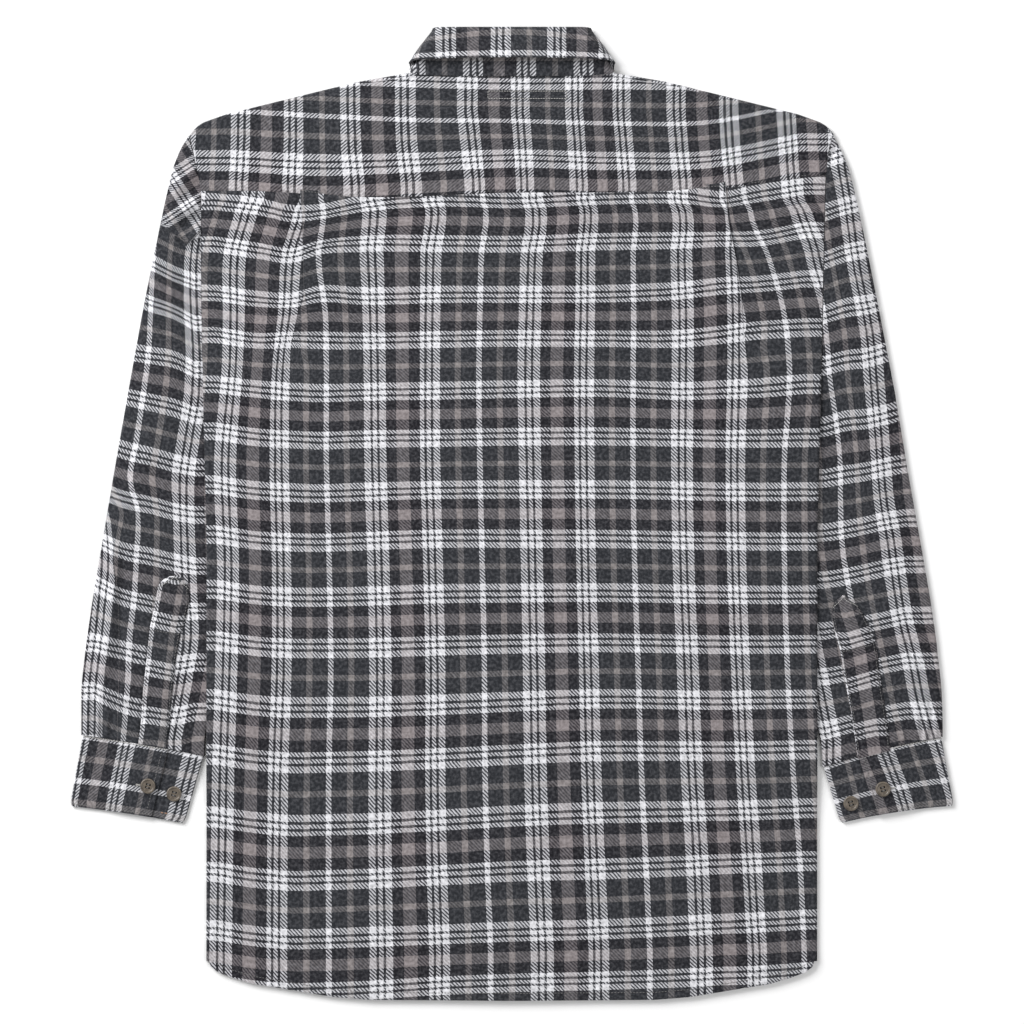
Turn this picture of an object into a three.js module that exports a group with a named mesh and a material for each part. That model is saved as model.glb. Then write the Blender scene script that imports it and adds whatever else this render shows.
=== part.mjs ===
// A long-sleeved flannel shirt, buttoned, laid flat on its front with its back up.
// Millimetres. +X is to the right of the picture, +Y towards the collar, +Z up.
import * as THREE from 'three';

// Driving dimensions of the cloth and its layers.
const CLOTH = 1.2; // one layer with its nap
const STIFF = 1.6; // cuff and collar leaf, two layers with interlining
const STAND = 1.8; // collar stand
const BAND = 1.4; // button band of the front
const SEAM = 0.3; // gap at each seam
const CUFF_GAP = 0.5; // gap between a cuff and its sleeve
const NECK_GAP = 0.4; // gap between the collar stand and what it is sewn to
const TUBE = 4.2; // thickness of a sleeve as it lies, both layers
const SLEEVE_CROWN = 1.6; // how much a sleeve swells where nothing presses on it
const OVER_SLEEVE = 4.8; // how high a front rides over the sleeve beneath it
const OVER_LEAF = 2.0; // how high a front rides over the collar leaf beneath it
const OVER_BUTTONS = 2.7; // how high the button band rides over its buttons
const OVER_BAND = 1.8; // how much higher the right front lies, over the band
const BAND_HALF = 17; // half width of the button band
const BAND_STEPS = 18; // rows of points down the band
const LAP = 15; // how far the right front passes the centre line
const EDGE_ROUND = 3; // radius of the body's side fold
const TUCK = 2; // how far a front's edge lies inside that fold

// Buttons.
const BUTTON = { radius: 7, thick: 2.4, rim: 1.4, dish: 0.5, sides: 12, hiddenSides: 8 };
const FRONT_BUTTONS = { count: 7, first: 300, step: 85 };
const COLLAR_BUTTON_Y = 341;

// Side edges of the body, from the armhole's top to the hem's corner.
const sides = [
  { y: 352, left: 297, right: 293 },
  { y: 335, left: 293, right: 291 },
  { y: 318, left: 290, right: 289 },
  { y: 299, left: 286, right: 288 },
  { y: 206, left: 286, right: 286 },
  { y: 96, left: 284, right: 284 },
  { y: -24, left: 281, right: 281 },
  { y: -450, left: 281.5, right: 281 },
];

// The yoke's seam across the back.
const yokeSeam = [
  { x: -290, y: 298 },
  { x: -236, y: 297.6 },
  { x: -136, y: 292 },
  { x: 0, y: 296 },
  { x: 110, y: 296.7 },
  { x: 195, y: 300.4 },
  { x: 267, y: 309.6 },
  { x: 292, y: 313.5 },
];

// The hem, a shallow curve with a rounded corner at each side seam.
const hem = [
  { x: 0, y: -447.6 },
  { x: 132, y: -446.7 },
  { x: 165, y: -444 },
  { x: 213, y: -436 },
  { x: 238, y: -432 },
  { x: 258, y: -426 },
  { x: 271, y: -421 },
  { x: 278, y: -415 },
  { x: 282, y: -409 },
];

// The shoulder: where the yoke folds over, and where its front strip ends.
const shoulder = [
  { x: 94, fold: 406.4, seamX: 88.4, seam: 374.4 },
  { x: 143, fold: 398, seamX: 138, seam: 366.5 },
  { x: 204, fold: 383, seamX: 200, seam: 351.5 },
  { x: 263, fold: 368.5, seamX: 260, seam: 337 },
  { x: 284, fold: 360.5, seamX: 279, seam: 329 },
  { x: 296, fold: 345.5, seamX: 289, seam: 318 },
];
const NECK_EDGE = 86; // where the front's neck curve meets its shoulder seam
const FRONT_HALF = 281; // half width of a front at the hem
const FRONT_TOP = 318; // where the front's shoulder seam meets the armhole
const NECK = { half: 94, side: 407, back: 402.6, drop: 82 };

// Where one layer rises over another, or falls away: the place where it starts, and its run.
const rises = {
  leafAlong: { from: 260, run: 22 },
  leafAcross: { from: 120, run: -22 },
  buttonsAlong: { from: -330, run: 70 },
  bandAcross: { from: 52, run: -32 },
  lapAcross: { from: 50, run: -28 },
  sideCurl: { from: 140, run: -30 },
  toArmhole: { from: 275, run: 70 },
  toCuff: { from: -120, run: -83 },
  swellFromCuff: { from: -203, run: 40 },
  swellFromBody: { from: 12, run: 24 },
};

// Height of the body's upper face, from the centre line to the side edge.
const crown = [
  { y: 405, centre: 9.3, collar: 9.3, middle: 6.6, outer: 5.2, edge: 4.4 },
  { y: 350, centre: 9.4, collar: 8.9, middle: 6.4, outer: 5.2, edge: 4.4 },
  { y: 297, centre: 9.0, collar: 7.0, middle: 6.2, outer: 5.4, edge: 4.4 },
  { y: 158, centre: 8.4, collar: 6.4, middle: 6.2, outer: 5.4, edge: 4.4 },
  { y: 116, centre: 8.4, collar: 6.4, middle: 6.4, outer: 8.0, edge: 8.2 },
  { y: 60, centre: 8.4, collar: 6.4, middle: 7.6, outer: 8.4, edge: 8.2 },
  { y: -80, centre: 8.4, collar: 6.4, middle: 6.8, outer: 8.4, edge: 8.2 },
  { y: -215, centre: 8.4, collar: 6.4, middle: 6.2, outer: 8.0, edge: 8.2 },
  { y: -280, centre: 8.4, collar: 6.2, middle: 5.8, outer: 4.6, edge: 4.2 },
  { y: -400, centre: 7.0, collar: 5.2, middle: 4.6, outer: 4.4, edge: 4.0 },
  { y: -450, centre: 5.2, collar: 4.6, middle: 4.4, outer: 4.2, edge: 4.0 },
];
const CROWN_AT = { centre: 0, collar: 95, middle: 190, outer: 240, edge: 290 };

// The two pleats under the yoke. Each fold's edge faces the armhole, with the centre on top.
const pleats = [
  { y: 300, left: -195, right: 196.5, height: 1.8 },
  { y: 270, left: -193, right: 199, height: 1.7 },
  { y: 236, left: -192, right: 206, height: 1.4 },
  { y: 200, left: -191.5, right: 211, height: 0.9 },
  { y: 171, left: -201, right: 213, height: 0.4 },
  { y: 143, left: -203, right: 216, height: 0 },
  { y: -450, left: -203, right: 216, height: 0 },
];
const PLEAT_RUN = 58; // how far the raised side takes to fall back

// Broad folds of the back, as soft ridges: centre, half length, half width, turn in degrees.
const backFolds = [
  { x: -236, y: 276, long: 46, wide: 13, turn: -6, height: 0.9 },
  { x: 250, y: 284, long: 44, wide: 13, turn: 10, height: 0.9 },
  { x: -60, y: 280, long: 74, wide: 14, turn: 2, height: 0.6 },
  { x: 120, y: 276, long: 66, wide: 14, turn: 3, height: 0.6 },
  { x: -238, y: 150, long: 80, wide: 22, turn: 76, height: 0.8 },
  { x: 232, y: 120, long: 90, wide: 22, turn: -70, height: 0.8 },
  { x: -120, y: -250, long: 110, wide: 34, turn: 84, height: 0.7 },
  { x: 132, y: -210, long: 120, wide: 34, turn: -82, height: 0.7 },
];

// A sleeve's outer edge, then its inner edge, which lies under the body.
const sleeveOuter = [
  { y: 346, left: 296.6, right: 293.4 },
  { y: 334, left: 305, right: 303 },
  { y: 322, left: 311, right: 308.5 },
  { y: 289, left: 319, right: 317.4 },
  { y: 245, left: 328.4, right: 326.6 },
  { y: 190, left: 339.5, right: 337.6 },
  { y: 113, left: 353.3, right: 352.4 },
  { y: 35, left: 367, right: 365.2 },
  { y: -42, left: 380, right: 379 },
  { y: -86, left: 387.3, right: 386.4 },
  { y: -119, left: 392, right: 391 },
  { y: -163, left: 396.5, right: 394.7 },
  { y: -210, left: 396.5, right: 396.5 },
];
// Lines across the sleeve, from its outer edge, past a bend, to its inner end under the body.
const sleeveRings = [
  { outer: 345.5, bendX: 290.4, bendY: 220.75, x: 284.3, y: 96 },
  { outer: 290, bendX: 293, bendY: 80, x: 277, y: 80 },
  { outer: 235, bendX: 296, bendY: 76, x: 268, y: 72 },
  { outer: 180, bendX: 298, bendY: 80, x: 257, y: 66 },
  { outer: 130, bendX: 298, bendY: 82, x: 245, y: 58 },
  { outer: 95, bendX: 296, bendY: 70, x: 234, y: 50 },
  { outer: 65, bendX: 294, bendY: 50, x: 227, y: 34 },
  { outer: 20, bendX: 298, bendY: 8, x: 227, y: -5 },
  { outer: -55, bendX: 311.5, bendY: -67, x: 241, y: -79 },
  { outer: -129, bendX: 325.5, bendY: -140.5, x: 258, y: -152 },
  { outer: -203, bendX: 339.5, bendY: -212.8, x: 282.4, y: -222.6 },
];
const SLEEVE_STEPS = [1, 1, 2, 2, 2, 1, 2, 3, 5, 5]; // rings in each stretch of the table above
// How near the centre line a sleeve reaches under the body, row by row.
const sleeveReach = [
  { y: 152, x: 334 },
  { y: 114, x: 299 },
  { y: 96, x: 290 },
  { y: 84, x: 276 },
  { y: 74, x: 264 },
  { y: 64, x: 250 },
  { y: 52, x: 233 },
  { y: 34, x: 224 },
  { y: -5, x: 224 },
  { y: -79, x: 238 },
  { y: -152, x: 255 },
  { y: -222, x: 279 },
  { y: -238, x: 290 },
  { y: -276, x: 332 },
];
const REACH = { start: 46, full: 14 };
const TOWER_TIP = -54; // where it starts, at its tip
const TOWER_FROM_INNER = 5; // its first column, counted from the sleeve's inner edge
const TOWER_TOP = -60; // where a sleeve placket reaches its full width
const SLEEVE_END = -203; // where a sleeve's outer edge meets its cuff
const ARMHOLE_START = 12; // how fast the armhole's curve sets in from the outer edge

// Cuffs, their laps, and the sleeve plackets, which differ a little from side to side.
const arms = [
  {
    side: 'left',
    sign: -1,
    outerTop: [-396.5, -203.4],
    innerTop: [-282.6, -222.8],
    innerBottom: [-300.5, -284.4],
    outerBottom: [-408.4, -268.2],
    bow: 1.2,
    lapTop: 0.7,
    lapBottom: 0.71,
    buttons: [
      { name: 1, x: -334.9, y: -249.8, onLap: true },
      { name: 2, x: -311, y: -257.1, onLap: false },
    ],
    tower: { outerTop: 0.41, innerTop: 0.6, outerEnd: 0.476, innerEnd: 0.7 },
  },
  {
    side: 'right',
    sign: 1,
    outerTop: [396.5, -205],
    innerTop: [285.7, -233],
    innerBottom: [301, -284.4],
    outerBottom: [408, -268],
    bow: 2.4,
    lapTop: 0.7,
    lapBottom: 0.68,
    buttons: [
      { name: 1, x: 341.3, y: -252.6, onLap: true },
      { name: 2, x: 311.9, y: -265.9, onLap: false },
    ],
    tower: { outerTop: 0.465, innerTop: 0.62, outerEnd: 0.465, innerEnd: 0.705 },
  },
];

// A cuff's folds: radius, and as shares of its width their run, their distance inside the cuff's
// corners, and how far the two corners at the hand are rounded.
const CUFF = { radius: 1.05, bend: 0.009, inset: 0.012, corner: 0.035, cornerFrom: 0.9, lapSlope: 0.7 };

// Folds of each sleeve, in the same columns as the back's. The left one buckles at its armhole.
const sleeveFolds = {
  left: [
    { x: -308, y: 302, long: 20, wide: 8, turn: -48, height: 1.5 },
    { x: -307, y: 276, long: 24, wide: 9, turn: -42, height: 1.6 },
    { x: -304, y: 248, long: 22, wide: 9, turn: 28, height: 1.3 },
    { x: -322, y: 214, long: 52, wide: 14, turn: 78, height: 0.9 },
    { x: -336, y: 60, long: 96, wide: 20, turn: 80, height: 0.8 },
    { x: -352, y: -104, long: 60, wide: 14, turn: 84, height: 0.9 },
  ],
  right: [
    { x: 309, y: 250, long: 74, wide: 12, turn: -80, height: 1.1 },
    { x: 330, y: 90, long: 96, wide: 20, turn: -79, height: 0.9 },
    { x: 352, y: -70, long: 70, wide: 14, turn: -80, height: 0.9 },
  ],
};
// Pleats that take the sleeve's width into its cuff, by their place across it.
const cuffPleats = [
  { at: 0.09, height: 1.6 },
  { at: 0.21, height: 1.4 },
  { at: 0.34, height: 1.0 },
  { at: 0.84, height: 0.8 },
];
const CUFF_PLEAT = { half: 0.045, reach: 62 };
const SWELL = { crown: 0.2, folds: 0.11, pleats: 0.05 }; // share of the width over which each sets in

// Collar, as lines round the neck: half width, place at the side, back and front, and height.
const standLines = [
  { half: 92.9, side: 408.2, back: 403, front: 325.6, frontX: -12, turn: 8, high: 8.6, low: 4.2 },
  { half: 82.6, side: 422, back: 420, front: 342, frontX: -12, turn: 8, high: 8.6, low: 4.2 },
  { half: 73, side: 436, back: 436, front: 358, frontX: -12, turn: 8, high: 8.6, low: 4.2 },
];
const leafLines = [
  { half: 72.4, side: 437.4, back: 437.2, front: 364.5, frontX: 8, turn: 4, high: 8.6, low: 4.2 },
  { half: 72, side: 443, back: 443.6, front: 370, frontX: 8, turn: 4, high: 8.7, low: 4.1 },
  { half: 71.8, side: 446.4, back: 446.8, front: 373, frontX: 8, turn: 4, high: 10.4, low: 2.5 },
  { half: 73.8, side: 442.4, back: 443.8, front: 369, frontX: 9, turn: 4, high: 12.2, low: 0.8 },
  { half: 83.4, side: 430, back: 432.4, front: 330, frontX: 32, turn: 4, high: 14.4, low: 0.8 },
  { half: 94, side: 413, back: 419.6, front: 290, frontX: 60, turn: 4, high: 16.6, low: 0.8 },
];
const COLLAR_STEPS = [90, 76, 62, 48, 36, 26, 17, 9, 2, -5, -14, -24, -36, -50, -62, -72, -81, -90];
const COLLAR_LAP = { rise: 2.4, from: -57, run: 10 }; // the stand's right end lies on its left one

const cloth = new THREE.MeshStandardMaterial({ color: 0x4a4b50, roughness: 0.95, metalness: 0 });
const horn = new THREE.MeshStandardMaterial({ color: 0x857c70, roughness: 0.4, metalness: 0 });

const clamp = THREE.MathUtils.clamp;
const lerp = THREE.MathUtils.lerp;
const ease = (t) => THREE.MathUtils.smoothstep(t, 0, 1);
const rise = (name, at) => ease((at - rises[name].from) / rises[name].run);

// Reads one column of a table whose rows rise or fall steadily in the column named key.
function read(table, key, at, column) {
  const rising = table[table.length - 1][key] > table[0][key];
  let row = 0;
  const isPast = (n) => (rising ? at > table[n][key] : at < table[n][key]);
  while (row < table.length - 2 && isPast(row + 1)) {
    row += 1;
  }
  const a = table[row];
  const b = table[row + 1];
  return lerp(a[column], b[column], clamp((at - a[key]) / (b[key] - a[key]), 0, 1));
}

const sideOf = (x) => (x < 0 ? 'left' : 'right');
const edgeAt = (side, y) => read(sides, 'y', y, side);
const hemAt = (x) => read(hem, 'x', Math.abs(x), 'y');
const yokeSeamAt = (x) => read(yokeSeam, 'x', x, 'y');

// Height of a table of soft ridges at a place.
function ridges(table, x, y) {
  let sum = 0;
  for (const fold of table) {
    const turn = THREE.MathUtils.degToRad(fold.turn);
    const dx = x - fold.x;
    const dy = y - fold.y;
    const along = (dx * Math.cos(turn) + dy * Math.sin(turn)) / fold.long;
    const across = (dy * Math.cos(turn) - dx * Math.sin(turn)) / fold.wide;
    sum += fold.height * Math.exp(-(along * along + across * across));
  }
  return sum;
}

function pleatRise(x, y) {
  const fold = read(pleats, 'y', y, sideOf(x));
  const inward = Math.abs(fold) - Math.abs(x);
  if (inward < 0) {
    return 0;
  }
  return read(pleats, 'y', y, 'height') * (1 - ease(inward / PLEAT_RUN));
}

// The body's upper face.
function crownAt(x, y) {
  const names = Object.keys(CROWN_AT);
  let n = 0;
  while (n < names.length - 2 && Math.abs(x) > CROWN_AT[names[n + 1]]) {
    n += 1;
  }
  const from = CROWN_AT[names[n]];
  const to = CROWN_AT[names[n + 1]];
  const blend = ease((Math.abs(x) - from) / (to - from));
  return lerp(read(crown, 'y', y, names[n]), read(crown, 'y', y, names[n + 1]), blend);
}

// The lower face of the fronts, over whatever lies beneath them.
function frontAt(x, y, side) {
  const across = Math.abs(x);
  const reach = read(sleeveReach, 'y', y, 'x');
  const sleeve = OVER_SLEEVE * ease((across - reach + REACH.start) / (REACH.start - REACH.full));
  const leaf = OVER_LEAF * rise('leafAlong', y) * rise('leafAcross', across);
  const buttons = OVER_BUTTONS * rise('buttonsAlong', y);
  if (side === 'right') {
    return Math.max(sleeve, leaf, (buttons + OVER_BAND) * rise('lapAcross', x));
  }
  return Math.max(sleeve, leaf, buttons * rise('bandAcross', across));
}

const curlAt = (y) => rise('sideCurl', y);

// The front's neck curve.
function neckAt(x) {
  const across = Math.min(Math.abs(x) / NECK.half, 1);
  return NECK.side - NECK.drop * Math.sqrt(1 - across * across) - NECK_GAP;
}

// Closes a grid of points into a wall of cloth. The points lie on the face that looks up, down or
// out of a tube, or in the middle of the wall.
function wallOf(points, thick, { face = 'up', keep = () => true, closed = false } = {}) {
  const rows = points.length;
  const cols = points[0].length;
  const spans = closed ? cols : cols - 1;
  const at = (j, i) => j * cols + (i % cols);
  const flat = points.flat();
  const normals = flat.map(() => new THREE.Vector3());
  const quads = [];
  for (let j = 0; j < rows - 1; j += 1) {
    for (let i = 0; i < spans; i += 1) {
      if (keep(j, i)) {
        quads.push([at(j, i), at(j, i + 1), at(j + 1, i + 1), at(j + 1, i)]);
      }
    }
  }
  for (const [a, b, c, d] of quads) {
    const across = flat[c].clone().sub(flat[a]);
    const normal = across.cross(flat[d].clone().sub(flat[b])).normalize();
    for (const corner of [a, b, c, d]) {
      normals[corner].add(normal);
    }
  }
  const count = flat.length;
  const mean = flat.reduce((sum, p) => sum + p.z, 0) / count;
  const weigh = (p) => (face === 'out' ? p.z - mean : 1);
  const upward = normals.reduce((sum, n, k) => sum + n.z * weigh(flat[k]), 0);
  const turned = upward > 0 === (face !== 'down') ? 1 : -1;
  const outward = face === 'middle' ? thick / 2 : 0;
  const vertices = [];
  for (const shift of [turned * outward, turned * (outward - thick)]) {
    flat.forEach((point, k) => {
      vertices.push(point.clone().addScaledVector(normals[k].normalize(), shift));
    });
  }
  const edges = new Set(quads.flatMap((q) => q.map((a, k) => `${a}>${q[(k + 1) % 4]}`)));
  const faces = [];
  for (const q of quads) {
    const [a, b, c, d] = q;
    faces.push([a, b, c], [a, c, d]);
    faces.push([a + count, c + count, b + count], [a + count, d + count, c + count]);
    q.forEach((from, k) => {
      const to = q[(k + 1) % 4];
      if (!edges.has(`${to}>${from}`)) {
        faces.push([to, from, from + count], [to, from + count, to + count]);
      }
    });
  }
  return solidOf(vertices, faces);
}

// Makes a geometry of the vertices that the faces use, with the faces turned outward.
function solidOf(vertices, faces) {
  let volume = 0;
  for (const [a, b, c] of faces) {
    volume += vertices[a].dot(vertices[b].clone().cross(vertices[c]));
  }
  const used = [...new Set(faces.flat())];
  const place = new Map(used.map((vertex, k) => [vertex, k]));
  const geometry = new THREE.BufferGeometry();
  const numbers = used.flatMap((vertex) => vertices[vertex].toArray());
  geometry.setAttribute('position', new THREE.Float32BufferAttribute(numbers, 3));
  const turned = faces.map(([a, b, c]) => (volume < 0 ? [a, c, b] : [a, b, c]));
  geometry.setIndex(turned.flat().map((vertex) => place.get(vertex)));
  geometry.computeVertexNormals();
  return geometry;
}

const shirt = new THREE.Group();

function add(name, geometry, material = cloth) {
  const mesh = new THREE.Mesh(geometry, material.clone());
  mesh.name = name;
  shirt.add(mesh);
  return mesh;
}

// Splits 0 to 1 into stretches, each with its own number of steps.
function stepsOf(stretches) {
  const values = [0];
  let from = 0;
  for (const { to, steps } of stretches) {
    for (let k = 1; k <= steps; k += 1) {
      values.push(lerp(from, to, k / steps));
    }
    from = to;
  }
  return values;
}

const point = (x, y, z) => new THREE.Vector3(x, y, z);

// The back's columns on one side of its centre: plain ones, the two on the pleat's fold, and the
// four that curl down at the side seam.
const backColumns = [
  ...[0, 34, 72, 110, 148, 176].map((x) => ({ x })),
  { pleat: -1.6 },
  { pleat: 0.2 },
  ...[224, 243, 262].map((x) => ({ x })),
  { out: 1, down: 0, flat: 1 },
  { out: 1 - Math.SQRT1_2, down: 1 - Math.SQRT1_2, flat: 0.66 },
  { out: 0, down: 1, flat: 0.33 },
  { out: 0, down: Infinity, flat: 0 },
];

function backPlace(column, sign, v) {
  const side = sign < 0 ? 'left' : 'right';
  const fold = Math.abs(read(pleats, 'y', lerp(298, -440, v), side));
  const rough = column.x ?? (column.pleat === undefined ? FRONT_HALF : fold);
  const y = lerp(yokeSeamAt(sign * rough) - SEAM, hemAt(rough), v);
  const edge = edgeAt(side, y);
  if (column.flat !== undefined) {
    const z = crownAt(edge, y);
    const deepest = z - frontAt(edge, y, side) - SEAM / 2;
    const folded = curlAt(y);
    const x = edge - EDGE_ROUND * lerp(column.flat, column.out, folded);
    return point(sign * x, y, z - Math.min(column.down * EDGE_ROUND, deepest) * folded);
  }
  const onPleat = read(pleats, 'y', y, side) + sign * column.pleat;
  const x = column.pleat === undefined ? (sign * column.x * edge) / FRONT_HALF : onPleat;
  return point(x, y, crownAt(x, y) + pleatRise(x, y) + ridges(backFolds, x, y));
}

// The back: one panel from the yoke's seam to the hem, with its side edges curled down.
function backWall() {
  const rows = stepsOf([
    { to: 0.17, steps: 5 },
    { to: 0.33, steps: 5 },
    { to: 0.96, steps: 12 },
    { to: 1, steps: 1 },
  ]);
  return wallOf(
    rows.map((v) => [
      ...backColumns.slice(1).reverse().map((column) => backPlace(column, -1, v)),
      ...backColumns.map((column) => backPlace(column, 1, v)),
    ]),
    CLOTH,
  );
}

// The yoke: from its seam up to the neck and the shoulder folds, then round to the front seams.
function yokeWall() {
  const neckTurns = [90, 72, 54, 36, 18];
  const shoulderX = [94, 118, 143, 173, 204, 234, 263, 284, 296];
  const count = neckTurns.length + shoulderX.length;
  const halfTurn = Math.SQRT1_2;
  const bends = [
    { out: 1 - halfTurn, up: halfTurn },
    { out: 0, up: 0 },
    { out: 1 - halfTurn, up: -halfTurn },
    { out: 1, up: -1 },
  ];
  const column = (n, sign) => {
    const side = sign < 0 ? 'left' : 'right';
    const isNeck = n < neckTurns.length;
    const turn = isNeck ? THREE.MathUtils.degToRad(neckTurns[n]) : 0;
    const shoulderAt = isNeck ? NECK.half : shoulderX[n - neckTurns.length];
    const isArm = n === count - 1;
    const backX = Math.abs(backPlace(backColumns[n], sign, 0).x);
    const seamX = Math.min(backX, edgeAt(side, yokeSeam[0].y) - count + n);
    const bottom = new THREE.Vector2(sign * seamX, yokeSeamAt(sign * seamX));
    const top = new THREE.Vector2(sign * shoulderAt, read(shoulder, 'x', shoulderAt, 'fold'));
    if (isNeck) {
      top.x = sign * NECK.half * Math.cos(turn);
      top.y = lerp(NECK.side - NECK_GAP, NECK.back, Math.sin(turn));
    }
    const inArm = (p) => {
      if (isArm) {
        p.x = sign * edgeAt(side, p.y);
      }
      return p;
    };
    inArm(top);
    const high = crownAt(top.x, top.y);
    const low = frontAt(top.x, top.y - 10, 'left');
    const round = isNeck ? 0 : (high - low) / 2;
    const down = bottom.clone().sub(top).normalize();
    const points = [];
    for (const v of [0, 0.28, 0.55, 0.8, 1]) {
      const p = inArm(bottom.clone().lerp(top.clone().addScaledVector(down, round), v));
      points.push(point(p.x, p.y, v === 1 ? high : crownAt(p.x, p.y)));
    }
    const seam = new THREE.Vector2(
      sign * read(shoulder, 'x', shoulderAt, 'seamX'),
      read(shoulder, 'x', shoulderAt, 'seam'),
    );
    inArm(seam);
    const along = seam.clone().sub(top).normalize();
    for (const bend of bends) {
      const p = inArm(top.clone().addScaledVector(along, round * bend.out));
      points.push(point(p.x, p.y, (high + low) / 2 + round * bend.up));
    }
    const start = top.clone().addScaledVector(along, round);
    for (const v of [0.5, 1]) {
      const p = inArm(start.clone().lerp(seam, v));
      points.push(point(p.x, p.y, frontAt(p.x, p.y, 'left')));
    }
    return points;
  };
  const indices = Array.from({ length: count }, (_, n) => n);
  const columns = [
    ...indices.slice(1).reverse().map((n) => column(n, -1)),
    ...indices.map((n) => column(n, 1)),
  ];
  const rows = columns[0].map((_, j) => columns.map((points) => points[j]));
  const neckSpans = neckTurns.length;
  const centre = count - 1;
  const topRows = 4;
  const keep = (j, i) => j < topRows || i < centre - neckSpans || i >= centre + neckSpans;
  return wallOf(rows, CLOTH, { keep });
}

// A front: from its shoulder seam and neck curve to the hem.
function frontWall(side) {
  const sign = side === 'left' ? -1 : 1;
  const inner = side === 'left' ? [BAND_HALF + SEAM, 34] : [-LAP, 2, 19, 34];
  const topHalf = edgeAt(side, FRONT_TOP) - SEAM;
  const widen = (FRONT_HALF - NECK_EDGE) / (topHalf - NECK_EDGE);
  const fromSeam = (x) => NECK_EDGE + (x - NECK_EDGE) * widen;
  const outer = [112, 138, 169, 200, 220, 240, 260, 279].map(fromSeam);
  const columns = [...inner, 50, 66, 78, NECK_EDGE, ...outer, FRONT_HALF];
  const topAt = (x) => (x <= NECK_EDGE ? neckAt(x) : read(shoulder, 'seamX', x, 'seam') - SEAM);
  const rows = stepsOf([
    { to: 0.12, steps: 3 },
    { to: 0.24, steps: 2 },
    { to: 0.38, steps: 7 },
    { to: 1, steps: 9 },
  ]);
  const place = (across, v) => {
    const share = Math.max(across - NECK_EDGE, 0) / (FRONT_HALF - NECK_EDGE);
    const spread = (widest) => (share > 0 ? lerp(NECK_EDGE, widest, share) : across);
    const y = lerp(topAt(spread(topHalf)), hemAt(across), v);
    const x = sign * spread(edgeAt(side, Math.min(y, FRONT_TOP)) - lerp(SEAM, TUCK, curlAt(y)));
    return point(x, y, frontAt(x, y, side));
  };
  return wallOf(
    rows.map((v) => columns.map((x) => place(x, v))),
    CLOTH,
    { face: 'down' },
  );
}

// The button band on the left front's edge.
function frontBand() {
  const rows = stepsOf([{ to: 1, steps: BAND_STEPS }]).map((v) =>
    [-BAND_HALF, 0, BAND_HALF].map((x) => {
      const y = lerp(neckAt(x), hemAt(x), v);
      return point(x, y, OVER_BUTTONS * rise('buttonsAlong', y));
    }),
  );
  return wallOf(rows, BAND, { face: 'down' });
}

// The line that a cuff and its sleeve share, from the sleeve's outer fold to its inner one.
function cuffPlace(arm, across, down) {
  const [ax, ay] = arm.outerTop;
  const [bx, by] = arm.innerTop;
  const [cx, cy] = arm.innerBottom;
  const [dx, dy] = arm.outerBottom;
  const bow = arm.bow * 4 * across * (1 - across);
  return new THREE.Vector2(
    lerp(lerp(ax, bx, across), lerp(dx, cx, across), down),
    lerp(lerp(ay, by, across), lerp(dy, cy, across), down) + bow,
  );
}

// One line across the sleeve, from its outer edge to its inner one, as a function of the share s.
function sleeveLine(arm, ring) {
  const atOuter = (y) => read(sleeveOuter, 'y', y, arm.side);
  const outer = new THREE.Vector2(arm.sign * atOuter(ring.outer), ring.outer);
  const bend = new THREE.Vector2(arm.sign * ring.bendX, ring.bendY);
  const inner = new THREE.Vector2(arm.sign * ring.x, ring.y);
  const armhole = sleeveRings[0];
  const toArmhole = rise('toArmhole', ring.outer);
  const toCuff = rise('toCuff', ring.outer);
  const curve = new THREE.QuadraticBezierCurve(outer, bend, inner);
  return (s) => {
    const p = curve.getPointAt(s);
    const bowed = edgeAt(arm.side, lerp(armhole.outer, armhole.y, s)) + SEAM;
    const straight = lerp(atOuter(armhole.outer), armhole.x, s);
    p.x += arm.sign * (bowed - straight) * toArmhole * Math.min(1, s * ARMHOLE_START);
    const alongCuff = cuffPlace(arm, s, 0);
    alongCuff.y += CUFF_GAP + ring.outer - SLEEVE_END;
    return p.lerp(alongCuff, toCuff);
  };
}

// Where the rings of the sleeve lie, from the armhole to the cuff.
function ringList(arm) {
  const rings = [];
  SLEEVE_STEPS.forEach((steps, n) => {
    for (let k = 0; k < steps; k += 1) {
      const a = sleeveRings[n];
      const b = sleeveRings[n + 1];
      const names = Object.keys(a);
      const values = names.map((name) => [name, lerp(a[name], b[name], k / steps)]);
      rings.push(Object.fromEntries(values));
    }
  });
  rings.push(sleeveRings[sleeveRings.length - 1]);
  return rings;
}

// Shares across the sleeve at one ring, with two of them on the placket's edges.
function sleeveShares(arm, ring) {
  const t = clamp((TOWER_TOP - ring.outer) / (TOWER_TOP - SLEEVE_END), 0, 1);
  const from = lerp(arm.tower.outerTop, arm.tower.outerEnd, t);
  const to = lerp(arm.tower.innerTop, arm.tower.innerEnd, t);
  const near = [0.1, 0.2, 0.34, 0.48, 0.62, 0.77, 0.91].map((s) => s * from);
  const far = [0.25, 0.5, 0.75, 0.93].map((s) => lerp(to, 1, s));
  return [...near, from, (from + to) / 2, to, ...far];
}

// The sleeve's upper face at a place on one of its lines.
function sleeveTop(arm, ring, s, p) {
  const clear = Math.abs(p.x) - edgeAt(arm.side, p.y);
  const open = rise('swellFromBody', clear) * rise('swellFromCuff', ring.outer);
  const swell = ease(s / SWELL.crown) * open;
  const folds = ridges(sleeveFolds[arm.side], p.x, p.y) * ease(s / SWELL.folds);
  const gather = ease(1 - (ring.outer - SLEEVE_END) / CUFF_PLEAT.reach);
  let pleated = 0;
  for (const pleat of cuffPleats) {
    const across = (s - pleat.at) / CUFF_PLEAT.half;
    pleated += pleat.height * Math.exp(-across * across) * gather;
  }
  return TUBE + (SLEEVE_CROWN + folds) * swell + pleated * ease(s / SWELL.pleats);
}

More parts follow.
